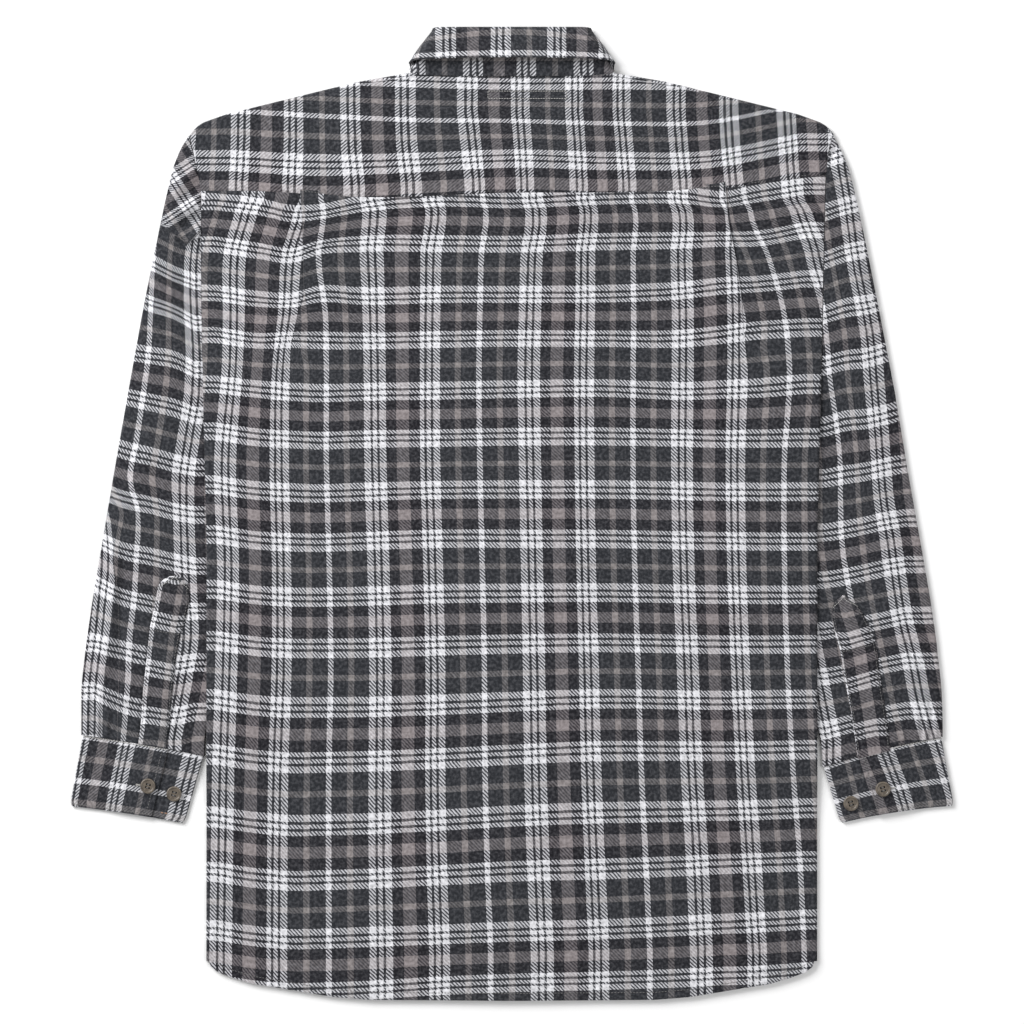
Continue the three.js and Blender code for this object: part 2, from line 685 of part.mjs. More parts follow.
function sleeveGrid(arm) {
  const half = Math.SQRT1_2;
  const radius = TUBE / 2;
  return ringList(arm).map((ring) => {
    const line = sleeveLine(arm, ring);
    const shares = sleeveShares(arm, ring);
    const length = line(0).distanceTo(line(1));
    const bend = (s, inset, z) => {
      const p = line(s === 0 ? (radius * inset) / length : 1 - (radius * inset) / length);
      return point(p.x, p.y, z);
    };
    const top = shares.map((s) => {
      const p = line(s);
      return point(p.x, p.y, sleeveTop(arm, ring, s, p));
    });
    const under = [0.93, 0.72, 0.5, 0.3, 0.12].map((s) => {
      const p = line(s);
      return point(p.x, p.y, 0);
    });
    return [
      bend(0, 0, radius),
      bend(0, 1 - half, radius * (1 + half)),
      ...top,
      bend(1, 1 - half, radius * (1 + half)),
      bend(1, 0, radius),
      bend(1, 1 - half, radius * (1 - half)),
      ...under,
      bend(0, 1 - half, radius * (1 - half)),
    ];
  });
}

// The tower placket: the sleeve's own points between its edges, moved out.
function towerWall(arm, grid) {
  const rings = ringList(arm);
  const first = rings.findIndex((ring) => ring.outer <= TOWER_TIP);
  const firstColumn = sleeveShares(arm, rings[first]).length - TOWER_FROM_INNER;
  const middle = firstColumn + 1;
  const rows = [];
  for (let j = first; j < grid.length; j += 1) {
    const row = grid[j].slice(firstColumn, firstColumn + 3);
    const narrow = j === first ? 0.3 : 1;
    rows.push([
      grid[j][middle].clone().lerp(row[0], narrow),
      grid[j][middle].clone(),
      grid[j][middle].clone().lerp(row[2], narrow),
    ]);
  }
  const lifted = rows.map((row) => row.map((p) => p.clone().add(point(0, 0, SEAM + CLOTH))));
  return wallOf(lifted, CLOTH);
}

// A cuff: a band wound from its lap round both folds to the end under the lap.
function cuffWall(arm) {
  const { radius, bend, inset } = CUFF;
  const low = STIFF / 2;
  const high = low + 2 * radius;
  const onLap = high + STIFF + SEAM;
  const half = Math.SQRT1_2;
  const fold = [
    { in: bend, z: high },
    { in: bend * (1 - half), z: low + radius * (1 + half) },
    { in: 0, z: low + radius },
    { in: bend * (1 - half), z: low + radius * (1 - half) },
    { in: bend, z: low },
  ];
  const winding = [
    { at: 'lap', z: onLap },
    ...[0.6, 0.5].map((at) => ({ at, z: onLap })),
    { at: 0.38, z: high + CUFF.lapSlope },
    ...[0.26, 0.12].map((at) => ({ at, z: high })),
    ...fold.map((p) => ({ at: inset + p.in, z: p.z })),
    ...[0.2, 0.5, 0.8].map((at) => ({ at, z: low })),
    ...fold.toReversed().map((p) => ({ at: 1 - inset - p.in, z: p.z })),
    ...[0.86, 0.7, 0.52].map((at) => ({ at, z: high })),
  ];
  const rows = [0, 0.32, 0.64, CUFF.cornerFrom, 0.97, 1].map((down) => {
    const corner = Math.max(down - CUFF.cornerFrom, 0) / (1 - CUFF.cornerFrom);
    const squeeze = CUFF.corner * corner ** 2;
    return winding.map(({ at, z }) => {
      const across = at === 'lap' ? lerp(arm.lapTop, arm.lapBottom, down) : at;
      const p = cuffPlace(arm, lerp(across, 0.5, squeeze), down);
      return point(p.x, p.y, z);
    });
  });
  return wallOf(rows, STIFF, { face: 'middle' });
}

// A line round the neck at one turn: 90 is the centre back, 0 the side, -90 the centre front.
function collarPoint(line, degrees, sign, settle) {
  const turn = THREE.MathUtils.degToRad(degrees);
  const share = Math.abs(Math.sin(turn));
  const isBack = degrees >= 0;
  const x = line.half * Math.cos(turn) + (isBack ? 0 : line.frontX * share ** line.turn);
  const y = lerp(line.side, isBack ? line.back : line.front, share);
  const z = lerp(line.low, line.high, ease((degrees + settle.before) / settle.over));
  return point(sign * x, y, z);
}

function collarGrid(lines, settle, lift) {
  const turns = [
    ...COLLAR_STEPS.slice(1).reverse().map((degrees) => ({ degrees, sign: -1 })),
    ...COLLAR_STEPS.map((degrees) => ({ degrees, sign: 1 })),
  ];
  return lines.map((line) =>
    turns.map(({ degrees, sign }) => {
      const p = collarPoint(line, degrees, sign, settle);
      if (sign > 0) {
        p.z += lift * ease((COLLAR_LAP.from - degrees) / COLLAR_LAP.run);
      }
      return p;
    }),
  );
}

function buttonShape(count) {
  const { radius, thick, rim, dish } = BUTTON;
  const profile = [
    new THREE.Vector2(0, 0),
    new THREE.Vector2(radius * 0.86, 0),
    new THREE.Vector2(radius, thick * 0.45),
    new THREE.Vector2(radius - rim * 0.6, thick),
    new THREE.Vector2(radius - rim - dish, thick - dish),
    new THREE.Vector2(0, thick - dish),
  ];
  return new THREE.LatheGeometry(profile, count).rotateX(Math.PI / 2);
}

function addButton(name, x, y, z, faceDown) {
  const button = add(name, buttonShape(faceDown ? BUTTON.hiddenSides : BUTTON.sides), horn);
  button.position.set(x, y, z);
  button.rotation.x = faceDown ? Math.PI : 0;
}

add('back', backWall());
add('yoke', yokeWall());
add('front_left', frontWall('left'));
add('front_right', frontWall('right'));
add('front_placket', frontBand());
const standGrid = collarGrid(standLines, { before: 15, over: 30 }, COLLAR_LAP.rise);
const leafGrid = collarGrid(leafLines, { before: 2, over: 30 }, 0);
add('collar_stand', wallOf(standGrid, STAND, { face: 'middle' }));
add('collar_leaf', wallOf(leafGrid, STIFF, { face: 'middle' }));
for (const arm of arms) {
  const grid = sleeveGrid(arm);
  add(`sleeve_${arm.side}`, wallOf(grid, CLOTH, { face: 'out', closed: true }));
  add(`sleeve_placket_${arm.side}`, towerWall(arm, grid));
  add(`cuff_${arm.side}`, cuffWall(arm));
  for (const { name, x, y, onLap } of arm.buttons) {
    const top = STIFF + 2 * CUFF.radius + (onLap ? STIFF + SEAM : 0);
    addButton(`cuff_button_${arm.side}_${name}`, x, y, top + SEAM, false);
  }
}
for (let k = 0; k < FRONT_BUTTONS.count; k += 1) {
  const y = FRONT_BUTTONS.first - k * FRONT_BUTTONS.step;
  addButton(`front_button_${k + 1}`, 0, y, BUTTON.thick, true);
}
addButton('collar_button', 0, COLLAR_BUTTON_Y, BUTTON.thick + SEAM, true);

// The origin lies under the middle of the whole shirt, on the surface that it rests on.
shirt.updateMatrixWorld(true);
const box = new THREE.Box3().setFromObject(shirt, true);
const middle = box.getCenter(new THREE.Vector3());
shirt.position.set(-middle.x, -middle.y, -box.min.z);

export default shirt;
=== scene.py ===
"""A plaid flannel shirt, laid flat with its back up: its cloth, stitches, buttons, light and camera."""

import math

import bpy
import numpy as np
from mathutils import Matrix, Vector, kdtree


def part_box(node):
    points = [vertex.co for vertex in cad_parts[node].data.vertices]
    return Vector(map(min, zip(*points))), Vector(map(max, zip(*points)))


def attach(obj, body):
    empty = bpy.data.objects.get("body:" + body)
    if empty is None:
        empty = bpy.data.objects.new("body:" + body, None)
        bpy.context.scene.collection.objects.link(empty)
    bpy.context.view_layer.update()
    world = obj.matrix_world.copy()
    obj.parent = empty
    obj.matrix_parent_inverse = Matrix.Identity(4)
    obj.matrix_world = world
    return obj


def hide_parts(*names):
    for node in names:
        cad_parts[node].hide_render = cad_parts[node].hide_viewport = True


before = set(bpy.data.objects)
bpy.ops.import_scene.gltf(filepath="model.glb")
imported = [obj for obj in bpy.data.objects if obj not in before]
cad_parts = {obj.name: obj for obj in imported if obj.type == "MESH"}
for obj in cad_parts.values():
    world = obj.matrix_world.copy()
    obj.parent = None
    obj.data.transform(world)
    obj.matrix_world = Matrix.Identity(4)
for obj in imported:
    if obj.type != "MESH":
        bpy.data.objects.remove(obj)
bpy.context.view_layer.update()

# ---------------------------------------------------------------- small tools


def ease(t):
    """0 below 0, 1 above 1, and a soft step between."""
    t = np.clip(t, 0.0, 1.0)
    return t * t * (3 - 2 * t)


def mix(a, b, t):
    return a + (b - a) * t


def table(names, *rows):
    """Named columns from rows of numbers."""
    return dict(zip(names.split(), np.array(rows, float).T))


def read(rows, key, at, column):
    """One column of a table at places along the column named key, straight between the rows."""
    order = np.argsort(rows[key])
    return np.interp(at, rows[key][order], rows[column][order])


def read_soft(rows, key, at, column, reach):
    """The same with its corners rounded over a reach."""
    offsets = np.linspace(-reach, reach, 7)
    return sum(read(rows, key, at + d, column) for d in offsets) / len(offsets)


def read_curve(rows, key, at, column):
    """The same on a smooth curve through the rows."""
    order = np.argsort(rows[key])
    xs, ys = rows[key][order], rows[column][order]
    slopes = np.gradient(ys, xs)
    at = np.clip(at, xs[0], xs[-1])
    n = np.clip(np.searchsorted(xs, at) - 1, 0, len(xs) - 2)
    span = xs[n + 1] - xs[n]
    t = (at - xs[n]) / span
    rest = 1 - t
    return (
        ys[n] * rest * rest * (1 + 2 * t)
        + ys[n + 1] * t * t * (3 - 2 * t)
        + span * t * rest * (slopes[n] * rest - slopes[n + 1] * t)
    )


def stepped(at, places, values):
    """Goes from value to value as at passes the places, with slope 1 beyond the first and last."""
    found = values[0] + np.minimum(at - places[0], 0)
    for a, b, low, high in zip(places, places[1:], values, values[1:]):
        found = found + np.clip((at - a) / (b - a), 0, 1) * (high - low)
    return found + np.maximum(at - places[-1], 0)


def ridges(rows, x, y):
    """Soft ridges and hollows: centre, half length, half width, turn in degrees, height."""
    total = 0.0
    for n in range(len(rows["x"])):
        turn = math.radians(rows["turn"][n])
        dx, dy = x - rows["x"][n], y - rows["y"][n]
        along = (dx * math.cos(turn) + dy * math.sin(turn)) / rows["long"][n]
        across = (dy * math.cos(turn) - dx * math.sin(turn)) / rows["wide"][n]
        total = total + rows["height"][n] * np.exp(-(along**2 + across**2))
    return total


# ---------------------------------------------------------------- sizes, in millimetres

CLOTH = 0.9  # one layer
STIFF = 1.5  # cuff or collar leaf, with interlining
STAND = 1.6
BAND = 1.2
TUBE = 4.2  # a sleeve as it lies, both layers
SLEEVE_CROWN = 1.6
OVER_SLEEVE = 4.8
OVER_LEAF = 2.0
OVER_BUTTONS = 2.7
OVER_BAND = 1.8
BAND_HALF = 17
LAP = 15
EDGE_ROUND = 3
HALF_WIDTH = 281
FIRST_BUTTON, BUTTON_STEP, FRONT_BUTTONS = 300, 85, 7
COLLAR_BUTTON = 341
NECK = {"half": 94, "side": 407, "back": 402.6, "drop": 82}
NECK_EDGE = 86
FRONT_TOP = 318

SIDES = table(
    "y left right",
    (352, 297, 293), (335, 293, 291), (318, 290, 289), (299, 286, 288), (206, 286, 286),
    (96, 284, 284), (-24, 281, 281), (-450, 281.5, 281),
)
YOKE_SEAM = table(
    "x y",
    (-290, 298), (-236, 297.6), (-136, 292), (0, 296), (110, 296.7), (195, 300.4), (267, 309.6),
    (292, 313.5),
)
HEM = table(
    "x y",
    (0, -447.6), (132, -446.7), (165, -444), (213, -436), (238, -432), (258, -426), (271, -421),
    (278, -415), (282, -409),
)
SHOULDER = table(
    "x fold seam_x seam",
    (94, 406.4, 88.4, 374.4), (143, 398, 138, 366.5), (204, 383, 200, 351.5),
    (263, 368.5, 260, 337), (284, 361, 279, 329), (289.5, 357.4, 284, 325), (293.5, 353.7, 286, 322),
    (296.2, 350, 288, 320), (297.5, 346.5, 289, 318),
)
# Height of the body's upper face, from the centre line to the side.
CROWN_AT = {"centre": 0, "collar": 95, "middle": 190, "outer": 240, "edge": 290}
CROWN = table(
    "y centre collar middle outer edge",
    (405, 9.3, 9.3, 6.6, 5.2, 4.4), (350, 9.4, 8.9, 6.4, 5.2, 4.4), (297, 9.0, 7.0, 6.2, 5.4, 4.4),
    (158, 8.4, 6.4, 6.2, 5.4, 4.4), (116, 8.4, 6.4, 6.4, 8.0, 8.2), (60, 8.4, 6.4, 7.6, 8.4, 8.2),
    (-80, 8.4, 6.4, 6.8, 8.4, 8.2), (-215, 8.4, 6.4, 6.2, 8.0, 8.2), (-280, 8.4, 6.2, 5.8, 4.6, 4.2),
    (-400, 7.0, 5.2, 4.6, 4.4, 4.0), (-450, 5.2, 4.6, 4.4, 4.2, 4.0),
)
# The two pleats: where each fold runs, its height, and how much cloth it hides.
PLEATS = table(
    "y left right height hidden_left hidden_right",
    (300, -195, 196.5, 1.9, 28, 25), (270, -193, 199, 1.8, 26, 23), (236, -192, 206, 1.5, 20, 17),
    (200, -191.5, 211, 1.0, 10, 9), (171, -201, 213, 0.5, 4, 4), (143, -203, 216, 0, 0, 0),
    (-450, -203, 216, 0, 0, 0),
)
PLEAT_RUN = 58
BACK_FOLDS = table(
    "x y long wide turn height",
    (-236, 276, 46, 13, -6, 0.9), (250, 284, 44, 13, 10, 0.9), (-60, 280, 74, 14, 2, 0.6),
    (120, 276, 66, 14, 3, 0.6), (-238, 150, 80, 22, 76, 0.8), (232, 120, 90, 22, -70, 0.8),
    (-120, -250, 110, 34, 84, 0.7), (132, -210, 120, 34, -82, 0.7),
)

SLEEVE_OUTER = table(
    "y left right",
    (353.7, 293.5, 290.7), (346.4, 299, 297), (339, 303.6, 301.2), (333.5, 306.4, 303.8),
    (322, 311, 308.8), (311.4, 314, 312), (289, 319.2, 317.4), (245, 328.4, 326.6),
    (190, 339.5, 337.6), (113, 353.3, 352.4), (35, 367, 365.2), (-42, 380, 379), (-86, 387.3, 386.4),
    (-119, 392, 391), (-163, 396.5, 394.7), (-210, 396.5, 396.5),
)
# Lines across a sleeve, from its outer edge past a bend to its inner end under the body.
SLEEVE_RINGS = table(
    "outer bend_x bend_y x y steps",
    (349, 290.4, 220.75, 284.3, 96, 5), (290, 293, 80, 277, 80, 4), (235, 296, 76, 268, 72, 2),
    (180, 298, 80, 257, 66, 2), (130, 298, 82, 245, 58, 2), (95, 296, 70, 234, 50, 1),
    (65, 294, 50, 227, 34, 2), (20, 298, 8, 227, -5, 3), (-55, 311.5, -67, 241, -79, 4),
    (-129, 325.5, -140.5, 258, -152, 5), (-203, 339.5, -212.8, 282.4, -222.6, 0),
)
SLEEVE_REACH = table(
    "y x",
    (152, 334), (114, 299), (96, 290), (84, 276), (74, 264), (64, 250), (52, 233), (34, 224),
    (-5, 224), (-79, 238), (-152, 255), (-222, 279), (-238, 290), (-276, 332),
)
REACH = {"start": 46, "full": 14}
SLEEVE_END = -203
CUFF_GAP = 0.5
CUFF = {"radius": 1.05, "bend": 0.009, "inset": 0.012, "corner": 0.035, "corner_from": 0.9}

ARMS = {
    "left": {
        "sign": -1,
        "corners": [(-396.5, -203.4), (-282.6, -222.8), (-300.5, -284.4), (-408.4, -268.2)],
        "bow": 1.2,
        "lap": (0.7, 0.71),
        "buttons": [(-334.9, -249.8, True), (-311, -257.1, False)],
    },
    "right": {
        "sign": 1,
        "corners": [(396.5, -205), (285.7, -233), (301, -284.4), (408, -268)],
        "bow": 2.4,
        "lap": (0.7, 0.68),
        "buttons": [(341.3, -252.6, True), (311.9, -265.9, False)],
    },
}
SLEEVE_FOLDS = {
    "left": table(
        "x y long wide turn height",
        (-301, 307, 17, 5.5, 43, 4.2), (-295, 296, 15, 4.5, 41, -2.4), (-301, 281, 20, 6, 36, 4.4),
        (-297, 269, 15, 4.5, 33, -2.4), (-307, 259, 17, 5, -38, 3.6), (-300, 248, 13, 4, -40, -2.2),
        (-291, 258, 11, 4, 44, 3.0), (-314, 300, 12, 5, 62, -1.6),
        (-322, 214, 52, 12, 78, 1.0), (-336, 60, 96, 18, 80, 0.8), (-352, -104, 60, 14, 84, 0.9),
        (-359.5, -92, 62, 4.5, 87, -2.9), (-370, -90, 66, 6.5, 84, 3.0), (-347, 30, 34, 7, 62, 1.4),
        (-338, 8, 30, 5, -60, 1.2),
    ),
    "right": table(
        "x y long wide turn height",
        (309, 250, 74, 12, -80, 1.1), (330, 90, 96, 20, -79, 0.9), (352, -70, 70, 14, -80, 0.9),
        (300, 292, 30, 8, 40, 1.0), (334, -60, 46, 7, -66, 0.9), (378, -120, 50, 9, -78, 1.1),
        (298, 334, 11, 4, 62, -2.4), (304, 322, 12, 4.5, 58, 2.2), (300, 306, 16, 4, -68, -1.6),
    ),
}
CUFF_PLEATS = table("at height", (0.055, 2.4), (0.135, 2.8), (0.21, 2.2), (0.33, 1.2), (0.84, 1.2))
CUFF_PLEAT = {"half": 0.021, "reach": 62}

# Collar: half width, places at the side, back and front, and height, line by line.
STAND_LINES = table(
    "half side back front front_x high low",
    (92.9, 408.2, 403, 325.6, -12, 8.6, 4.2), (82.6, 422, 420, 342, -12, 8.6, 4.2),
    (73, 436, 436, 358, -12, 8.6, 4.2),
)
LEAF_LINES = table(
    "half side back front front_x high low",
    (72.4, 437.4, 437.2, 364.5, 8, 8.6, 4.2), (72, 443, 443.6, 370, 8, 8.7, 4.1),
    (71.8, 446.4, 446.8, 373, 8, 10.4, 2.5), (73.8, 442.4, 443.8, 369, 9, 12.2, 0.8),
    (83.4, 430, 432.4, 330, 32, 14.4, 0.8), (94, 413, 419.6, 290, 60, 16.6, 0.8),
)

# ---------------------------------------------------------------- the plaid

# Stripes of the two yarn directions: colour and width.
WARP_SETT = [
    ("white", 3.8), ("dark", 2.2), ("white", 3.6), ("dark", 2.2), ("white", 5.9), ("dark", 14.2),
    ("fine", 5.5), ("dark", 14.0), ("white", 5.1), ("dark", 13.5), ("fine", 5.8), ("dark", 13.8),
    ("white", 5.9), ("dark", 2.2), ("white", 4.1), ("dark", 2.2), ("white", 5.7), ("black", 9.4),
    ("taupe", 11.5), ("black", 10.4),
]
WEFT_SETT = [
    ("white", 3.6), ("dark", 2.2), ("white", 3.3), ("dark", 2.2), ("white", 5.2), ("dark", 14.1),
    ("fine", 4.8), ("dark", 13.1), ("white", 5.7), ("dark", 2.1), ("white", 3.4), ("dark", 2.1),
    ("white", 3.7), ("black", 9.2), ("taupe", 9.8), ("black", 10.0),
]
WARP_REPEAT = sum(width for _, width in WARP_SETT)
WEFT_REPEAT = sum(width for _, width in WEFT_SETT)
# Middles of the stripe groups that the lines below follow.
WARP_LINES = {"a": 8.9, "s": 54.0, "b": 99.7}
WEFT_LINES = {"a": 8.3, "c": 56.9}


def cloth_of(name, lines, repeat):
    """Where a line such as b-1 lies on the cloth: its group, and the repeat it belongs to."""
    return lines[name[0]] + repeat * float(name[1:])


def warp_at(x, y, lines, folds=()):
    """Crosswise cloth coordinate, from where the warp lines lie at each height. Each fold is given
    by its place, the line that it comes after, and 1 where it is pressed flat, 0 where it is open."""
    names = [name for name in lines if name != "y"]
    places = [read_curve(lines, "y", y, name) for name in names]
    cloth = [cloth_of(name, WARP_LINES, WARP_REPEAT) for name in names]
    for fold, after, pressed in folds:
        k = names.index(after) + 1
        left, right = places[k - 1], places[k]
        at = mix((left + right) / 2, fold, pressed)
        flat = (cloth[k - 1] + cloth[k]) / 2
        before = mix(flat, cloth[k - 1] + (at - left), pressed)
        beyond = mix(flat, cloth[k] - (right - at), pressed)
        names[k:k] = ["fold", "fold"]
        places[k:k] = [at - 0.05, at + 0.05]
        cloth[k:k] = [before, beyond]
    return stepped(x, places, cloth)


def weft_at(x, y, lines):
    """Lengthwise cloth coordinate, counted downwards, from where the weft lines lie."""
    names = [name for name in lines if name != "x"]
    places = [-read_curve(lines, "x", x, name) for name in names]
    return stepped(-y, places, [cloth_of(name, WEFT_LINES, WEFT_REPEAT) for name in names])


BACK_WARP = table(
    "y b-2 a-1 s-1 b-1 a0 b0 a1 b1 a2 s2 b2",
    (289, -245, -191.4, -175.3, -129.7, -71.8, 19.3, 68.1, 152.7, 199.6, 219, 264),
    (262, -252.5, -198.3, -177.6, -131.1, -73.6, 19.3, 67.6, 155, 203, 226.3, 274.2),
    (232, -256.2, -203.3, -178, -129.3, -74.5, 17.7, 67.5, 155.5, 205.2, 237.4, 280.6),
    (186, -256.2, -206.5, -172, -127.9, -75.3, 16.3, 67.2, 156.8, 207, 249.8, 293.5),
    (142, -256.7, -212.1, -171.1, -127, -75.6, 15.1, 66.4, 156.8, 207, 254.8, 299.9),
    (50, -264, -213.9, -171.1, -126, -75.4, 16.3, 66.6, 156.1, 205.2, 250.2, 295.3),
    (-46, -261.3, -212.1, -168.4, -123.3, -72.7, 18.1, 68.1, 157.7, 206.5, 250.2, 296.2),
    (-143, -263.1, -212.1, -167, -121.4, -70.6, 19.9, 70.6, 161.6, 210.2, 253, 299),
    (-235, -265.9, -215.3, -168.8, -121.8, -70.7, 21.2, 72.7, 165.2, 214.8, 258.1, 303.6),
    (-309, -267.3, -216.2, -169, -121.6, -69.6, 23.4, 75.6, 169.7, 219.9, 264, 310),
    (-401, -268.6, -216.7, -168.8, -120.5, -66.7, 27.6, 79.8, 174.1, 225.9, 268.6, 314.6),
)
BACK_WEFT = table(
    "x c-3 a-2 c-2 a-1 c-1 a0 a1 a2 c2 a3 c3 a4 c4 a5",
    (-273, 287.5, 248.9, 203.8, 165.6, 120.1, 76.8, -18.4, -115.7, -169.7, -220.3, -278.3, -328.9, -382.3, -431.9),
    (-232, 282.9, 242.4, 198.3, 160.1, 115.7, 70.8, -23.9, -121.2, -175.6, -225.9, -283.8, -334.9, -388.2, -438.4),
    (-202, 276.5, 238.3, 197.3, 161.5, 112.9, 69.2, -25.5, -122.8, -177.1, -228.2, -286.1, -337.2, -390.5, -440.2),
    (-178, 277.4, 246.1, 203.3, 160.5, 111.8, 68.1, -25.9, -122.8, -177.1, -227.7, -285.7, -336.7, -390.1, -439.8),
    (-140, 284.7, 249.8, 201, 159.9, 112.9, 69.3, -24.5, -122.5, -176.9, -226.8, -284.7, -335.3, -388.7, -438.4),
    (-66, 291.2, 249.3, 202.4, 161.3, 114.1, 70.4, -22, -120.4, -174.8, -224, -281.1, -331.7, -386.4, -433.8),
    (3, 289.3, 248.9, 202.4, 162.3, 115.6, 71.7, -22.2, -118.8, -171.9, -220.3, -276.9, -328, -383.6, -431),
    (81, 293, 251.2, 202.9, 161.8, 116.9, 71.9, -22.4, -117.9, -169.2, -217.1, -274.2, -326.1, -381.8, -429.2),
    (164, 293, 252.5, 207.5, 162.4, 113.8, 70.4, -23.9, -119.1, -170.5, -217.1, -272.8, -322.9, -378.1, -426.4),
    (193, 289.3, 253.5, 211.1, 165.6, 115, 69.6, -24.4, -119.6, -170.7, -217.1, -272.3, -321.5, -376.7, -425),
    (224, 294.9, 253.5, 212.5, 169.7, 116.2, 69.7, -24.8, -119.6, -170.1, -217, -271.9, -320.6, -375.4, -424.1),
    (270, 302.2, 261.7, 217.6, 172.5, 120.5, 70.4, -25, -119.1, -169.7, -215.7, -270, -318.8, -372.6, -420.9),
)
# The yoke is cut crosswise: its upright lines are wefts, its level ones warps.
YOKE_WEFT = table(
    "y c-3 a-2 c-2 a-1 c-1 a0 c0 a1 c1 a2 c2",
    (370, -250.2, -201, -149.5, -98.4, -40.9, 7.8, 57, 100.3, 150.4, 199.2, 252.1),
    (340, -250.7, -201, -148.6, -97.1, -37.3, 10.1, 59.3, 103, 152.7, 201, 253.9),
    (304, -252.5, -202.4, -145.4, -92.9, -33.6, 12, 61.2, 105.8, 156.4, 204.2, 256.2),
)
YOKE_WARP = table(
    "x a0 s0 b0 band0",
    (-259, 407.1, 372.1, 325.2, 303.1), (-177, 403.4, 367.1, 321.5, 297.2),
    (-85, 400.2, 362.9, 324.3, 301.8), (0, 397.9, 362, 328.4, 305.4), (90, 398.8, 359.7, 326.1, 303.6),
    (182, 399.7, 361.1, 327.5, 306.4), (265, 408.9, 377.7, 343.2, 321.5),
)
SLEEVE_WARP = {
    "left": table(
        "y a0 s0 b0",
        (289, -374.4, -326.6, -284.3), (234, -376.3, -330.3, -293.5), (197, -377.2, -332.1, -293.5),
        (142, -380.9, -335.3, -290.7), (105, -386.4, -340.4, -292.1), (68, -391.9, -345.9, -298.1),
        (32, -397.4, -351.4, -302.7), (4, -379, -345, -302.7), (-42, -373.5, -345.9, -301.3),
        (-79, -376.3, -348.2, -299.9), (-115, -380, -352.4, -299), (-152, -384.6, -353.7, -304.5),
        (-207, -386.4, -357.9, -314.6),
    ),
    "right": table(
        "y s0 b0",
        (335, 255.8, 299.9), (289, 267.7, 308.2), (234, 278.8, 315.6), (160, 289.8, 329.4),
        (124, 292.6, 332.1), (87, 298.1, 335.3), (50, 301.8, 338.1), (13, 302.2, 341.3),
        (-23, 303.1, 347.8), (-60, 308.2, 352.8), (-97, 316.5, 358.8), (-134, 323.8, 368),
        (-171, 331.2, 375.4), (-207, 338.6, 385.5),
    ),
}
SLEEVE_WEFT = {
    "left": table(
        "x c-3 a-2 c-2 a-1 c-1 a0 c0 a1 c1 a2",
        (-384, 252.5, 212.1, 156.9, 118.2, 70.4, 24.4, -21.6, -63, -118.2, -162.4),
        (-356, 242.4, 202.9, 150.4, 109, 59.3, 13.3, -33.6, -76.8, -124.7, -175.3),
        (-333, 232.3, 194.6, 146.7, 103.5, 53.8, 8.7, -38.2, -82.3, -130.2, -180.8),
        (-310, 220.3, 186.3, 143.1, 98, 47.4, 2.3, -43.7, -88.8, -137.5, -185.4),
        (-292, 213.9, 176.2, 133.9, 91.5, 43.7, -0.5, -47.4, -88.8, -135.7, -181.7),
    ),
    "right": table(
        "x c-3 a-2 c-2 a-1 c-1 a0 c0 a1 c1 a2 c2",
        (288, 278.3, 234.1, 184.5, 137.5, 80.5, 33.1, -16.6, -60.3, -107.2, -149, -198.3),
        (306, 283.8, 240.6, 190.4, 142.1, 86, 36.3, -13.8, -57.5, -104.4, -145.8, -193.7),
        (325, 288.4, 244.3, 193.2, 144.4, 87.9, 39.1, -10.1, -53.4, -100.7, -142.1, -189.1),
        (343, 292.1, 247.9, 197.3, 149.5, 91.5, 43.2, -6, -49.2, -97.1, -138.5, -183.5),
        (362, 295.8, 251.6, 201, 154.1, 97.1, 46.5, -3.2, -46, -92.5, -134.8, -179.9),
    ),
}
# A deep fold down the left sleeve, which hides some of its cloth.
DEEP_FOLD = table("y x", (8, -371), (-37, -367), (-83, -362.5), (-130, -361), (-207, -363))
# Where the left sleeve buckles at its armhole, above a V-shaped fold, its plaid is turned
# and drawn together.
BUCKLE = {
    "x": -297, "y": 283, "turn": 33, "scale": 1.4, "u": 99.7, "v": -275.2,
    "fold_x": -299, "fold_y": 249, "outward": 0.77, "inward": 0.9,
}

# ---------------------------------------------------------------- heights of the layers


def edge_at(x, y):
    """Half width of the body at a height, on the side that x is on."""
    left = read_soft(SIDES, "y", y, "left", 6)
    right = read_soft(SIDES, "y", y, "right", 6)
    return np.where(np.asarray(x) < 0, left, right)


def hem_at(x):
    return read_soft(HEM, "x", np.abs(x), "y", 3)


def yoke_seam_at(x):
    return read_curve(YOKE_SEAM, "x", x, "y")


def crown_at(x, y):
    names = list(CROWN_AT)
    across = np.abs(x)
    height = read_soft(CROWN, "y", y, names[0], 16)
    for a, b in zip(names, names[1:]):
        rise = read_soft(CROWN, "y", y, b, 16) - read_soft(CROWN, "y", y, a, 16)
        height = height + rise * ease((across - CROWN_AT[a]) / (CROWN_AT[b] - CROWN_AT[a]))
    return height


def pleat_at(x, y):
    fold = np.where(x < 0, read_soft(PLEATS, "y", y, "left", 5), read_soft(PLEATS, "y", y, "right", 5))
    inward = np.abs(fold) - np.abs(x)
    height = read_soft(PLEATS, "y", y, "height", 8)
    return np.where(inward < 0, 0, height * (1 - ease(inward / PLEAT_RUN)))


def under_front(x, y, side):
    """Lower face of a front, over whatever lies beneath it."""
    across = np.abs(x)
    reach = read_soft(SLEEVE_REACH, "y", y, "x", 4)
    over_sleeve = OVER_SLEEVE * ease((across - reach + REACH["start"]) / (REACH["start"] - REACH["full"]))
    leaf = OVER_LEAF * ease((y - 260) / 22) * ease((120 - across) / 22)
    buttons = OVER_BUTTONS * ease((y + 330) / 70)
    middle = buttons * ease((52 - across) / 32)
    if side == "right":
        middle = (buttons + OVER_BAND) * ease((50 - x) / 28)
    return np.maximum(np.maximum(over_sleeve, leaf), middle)


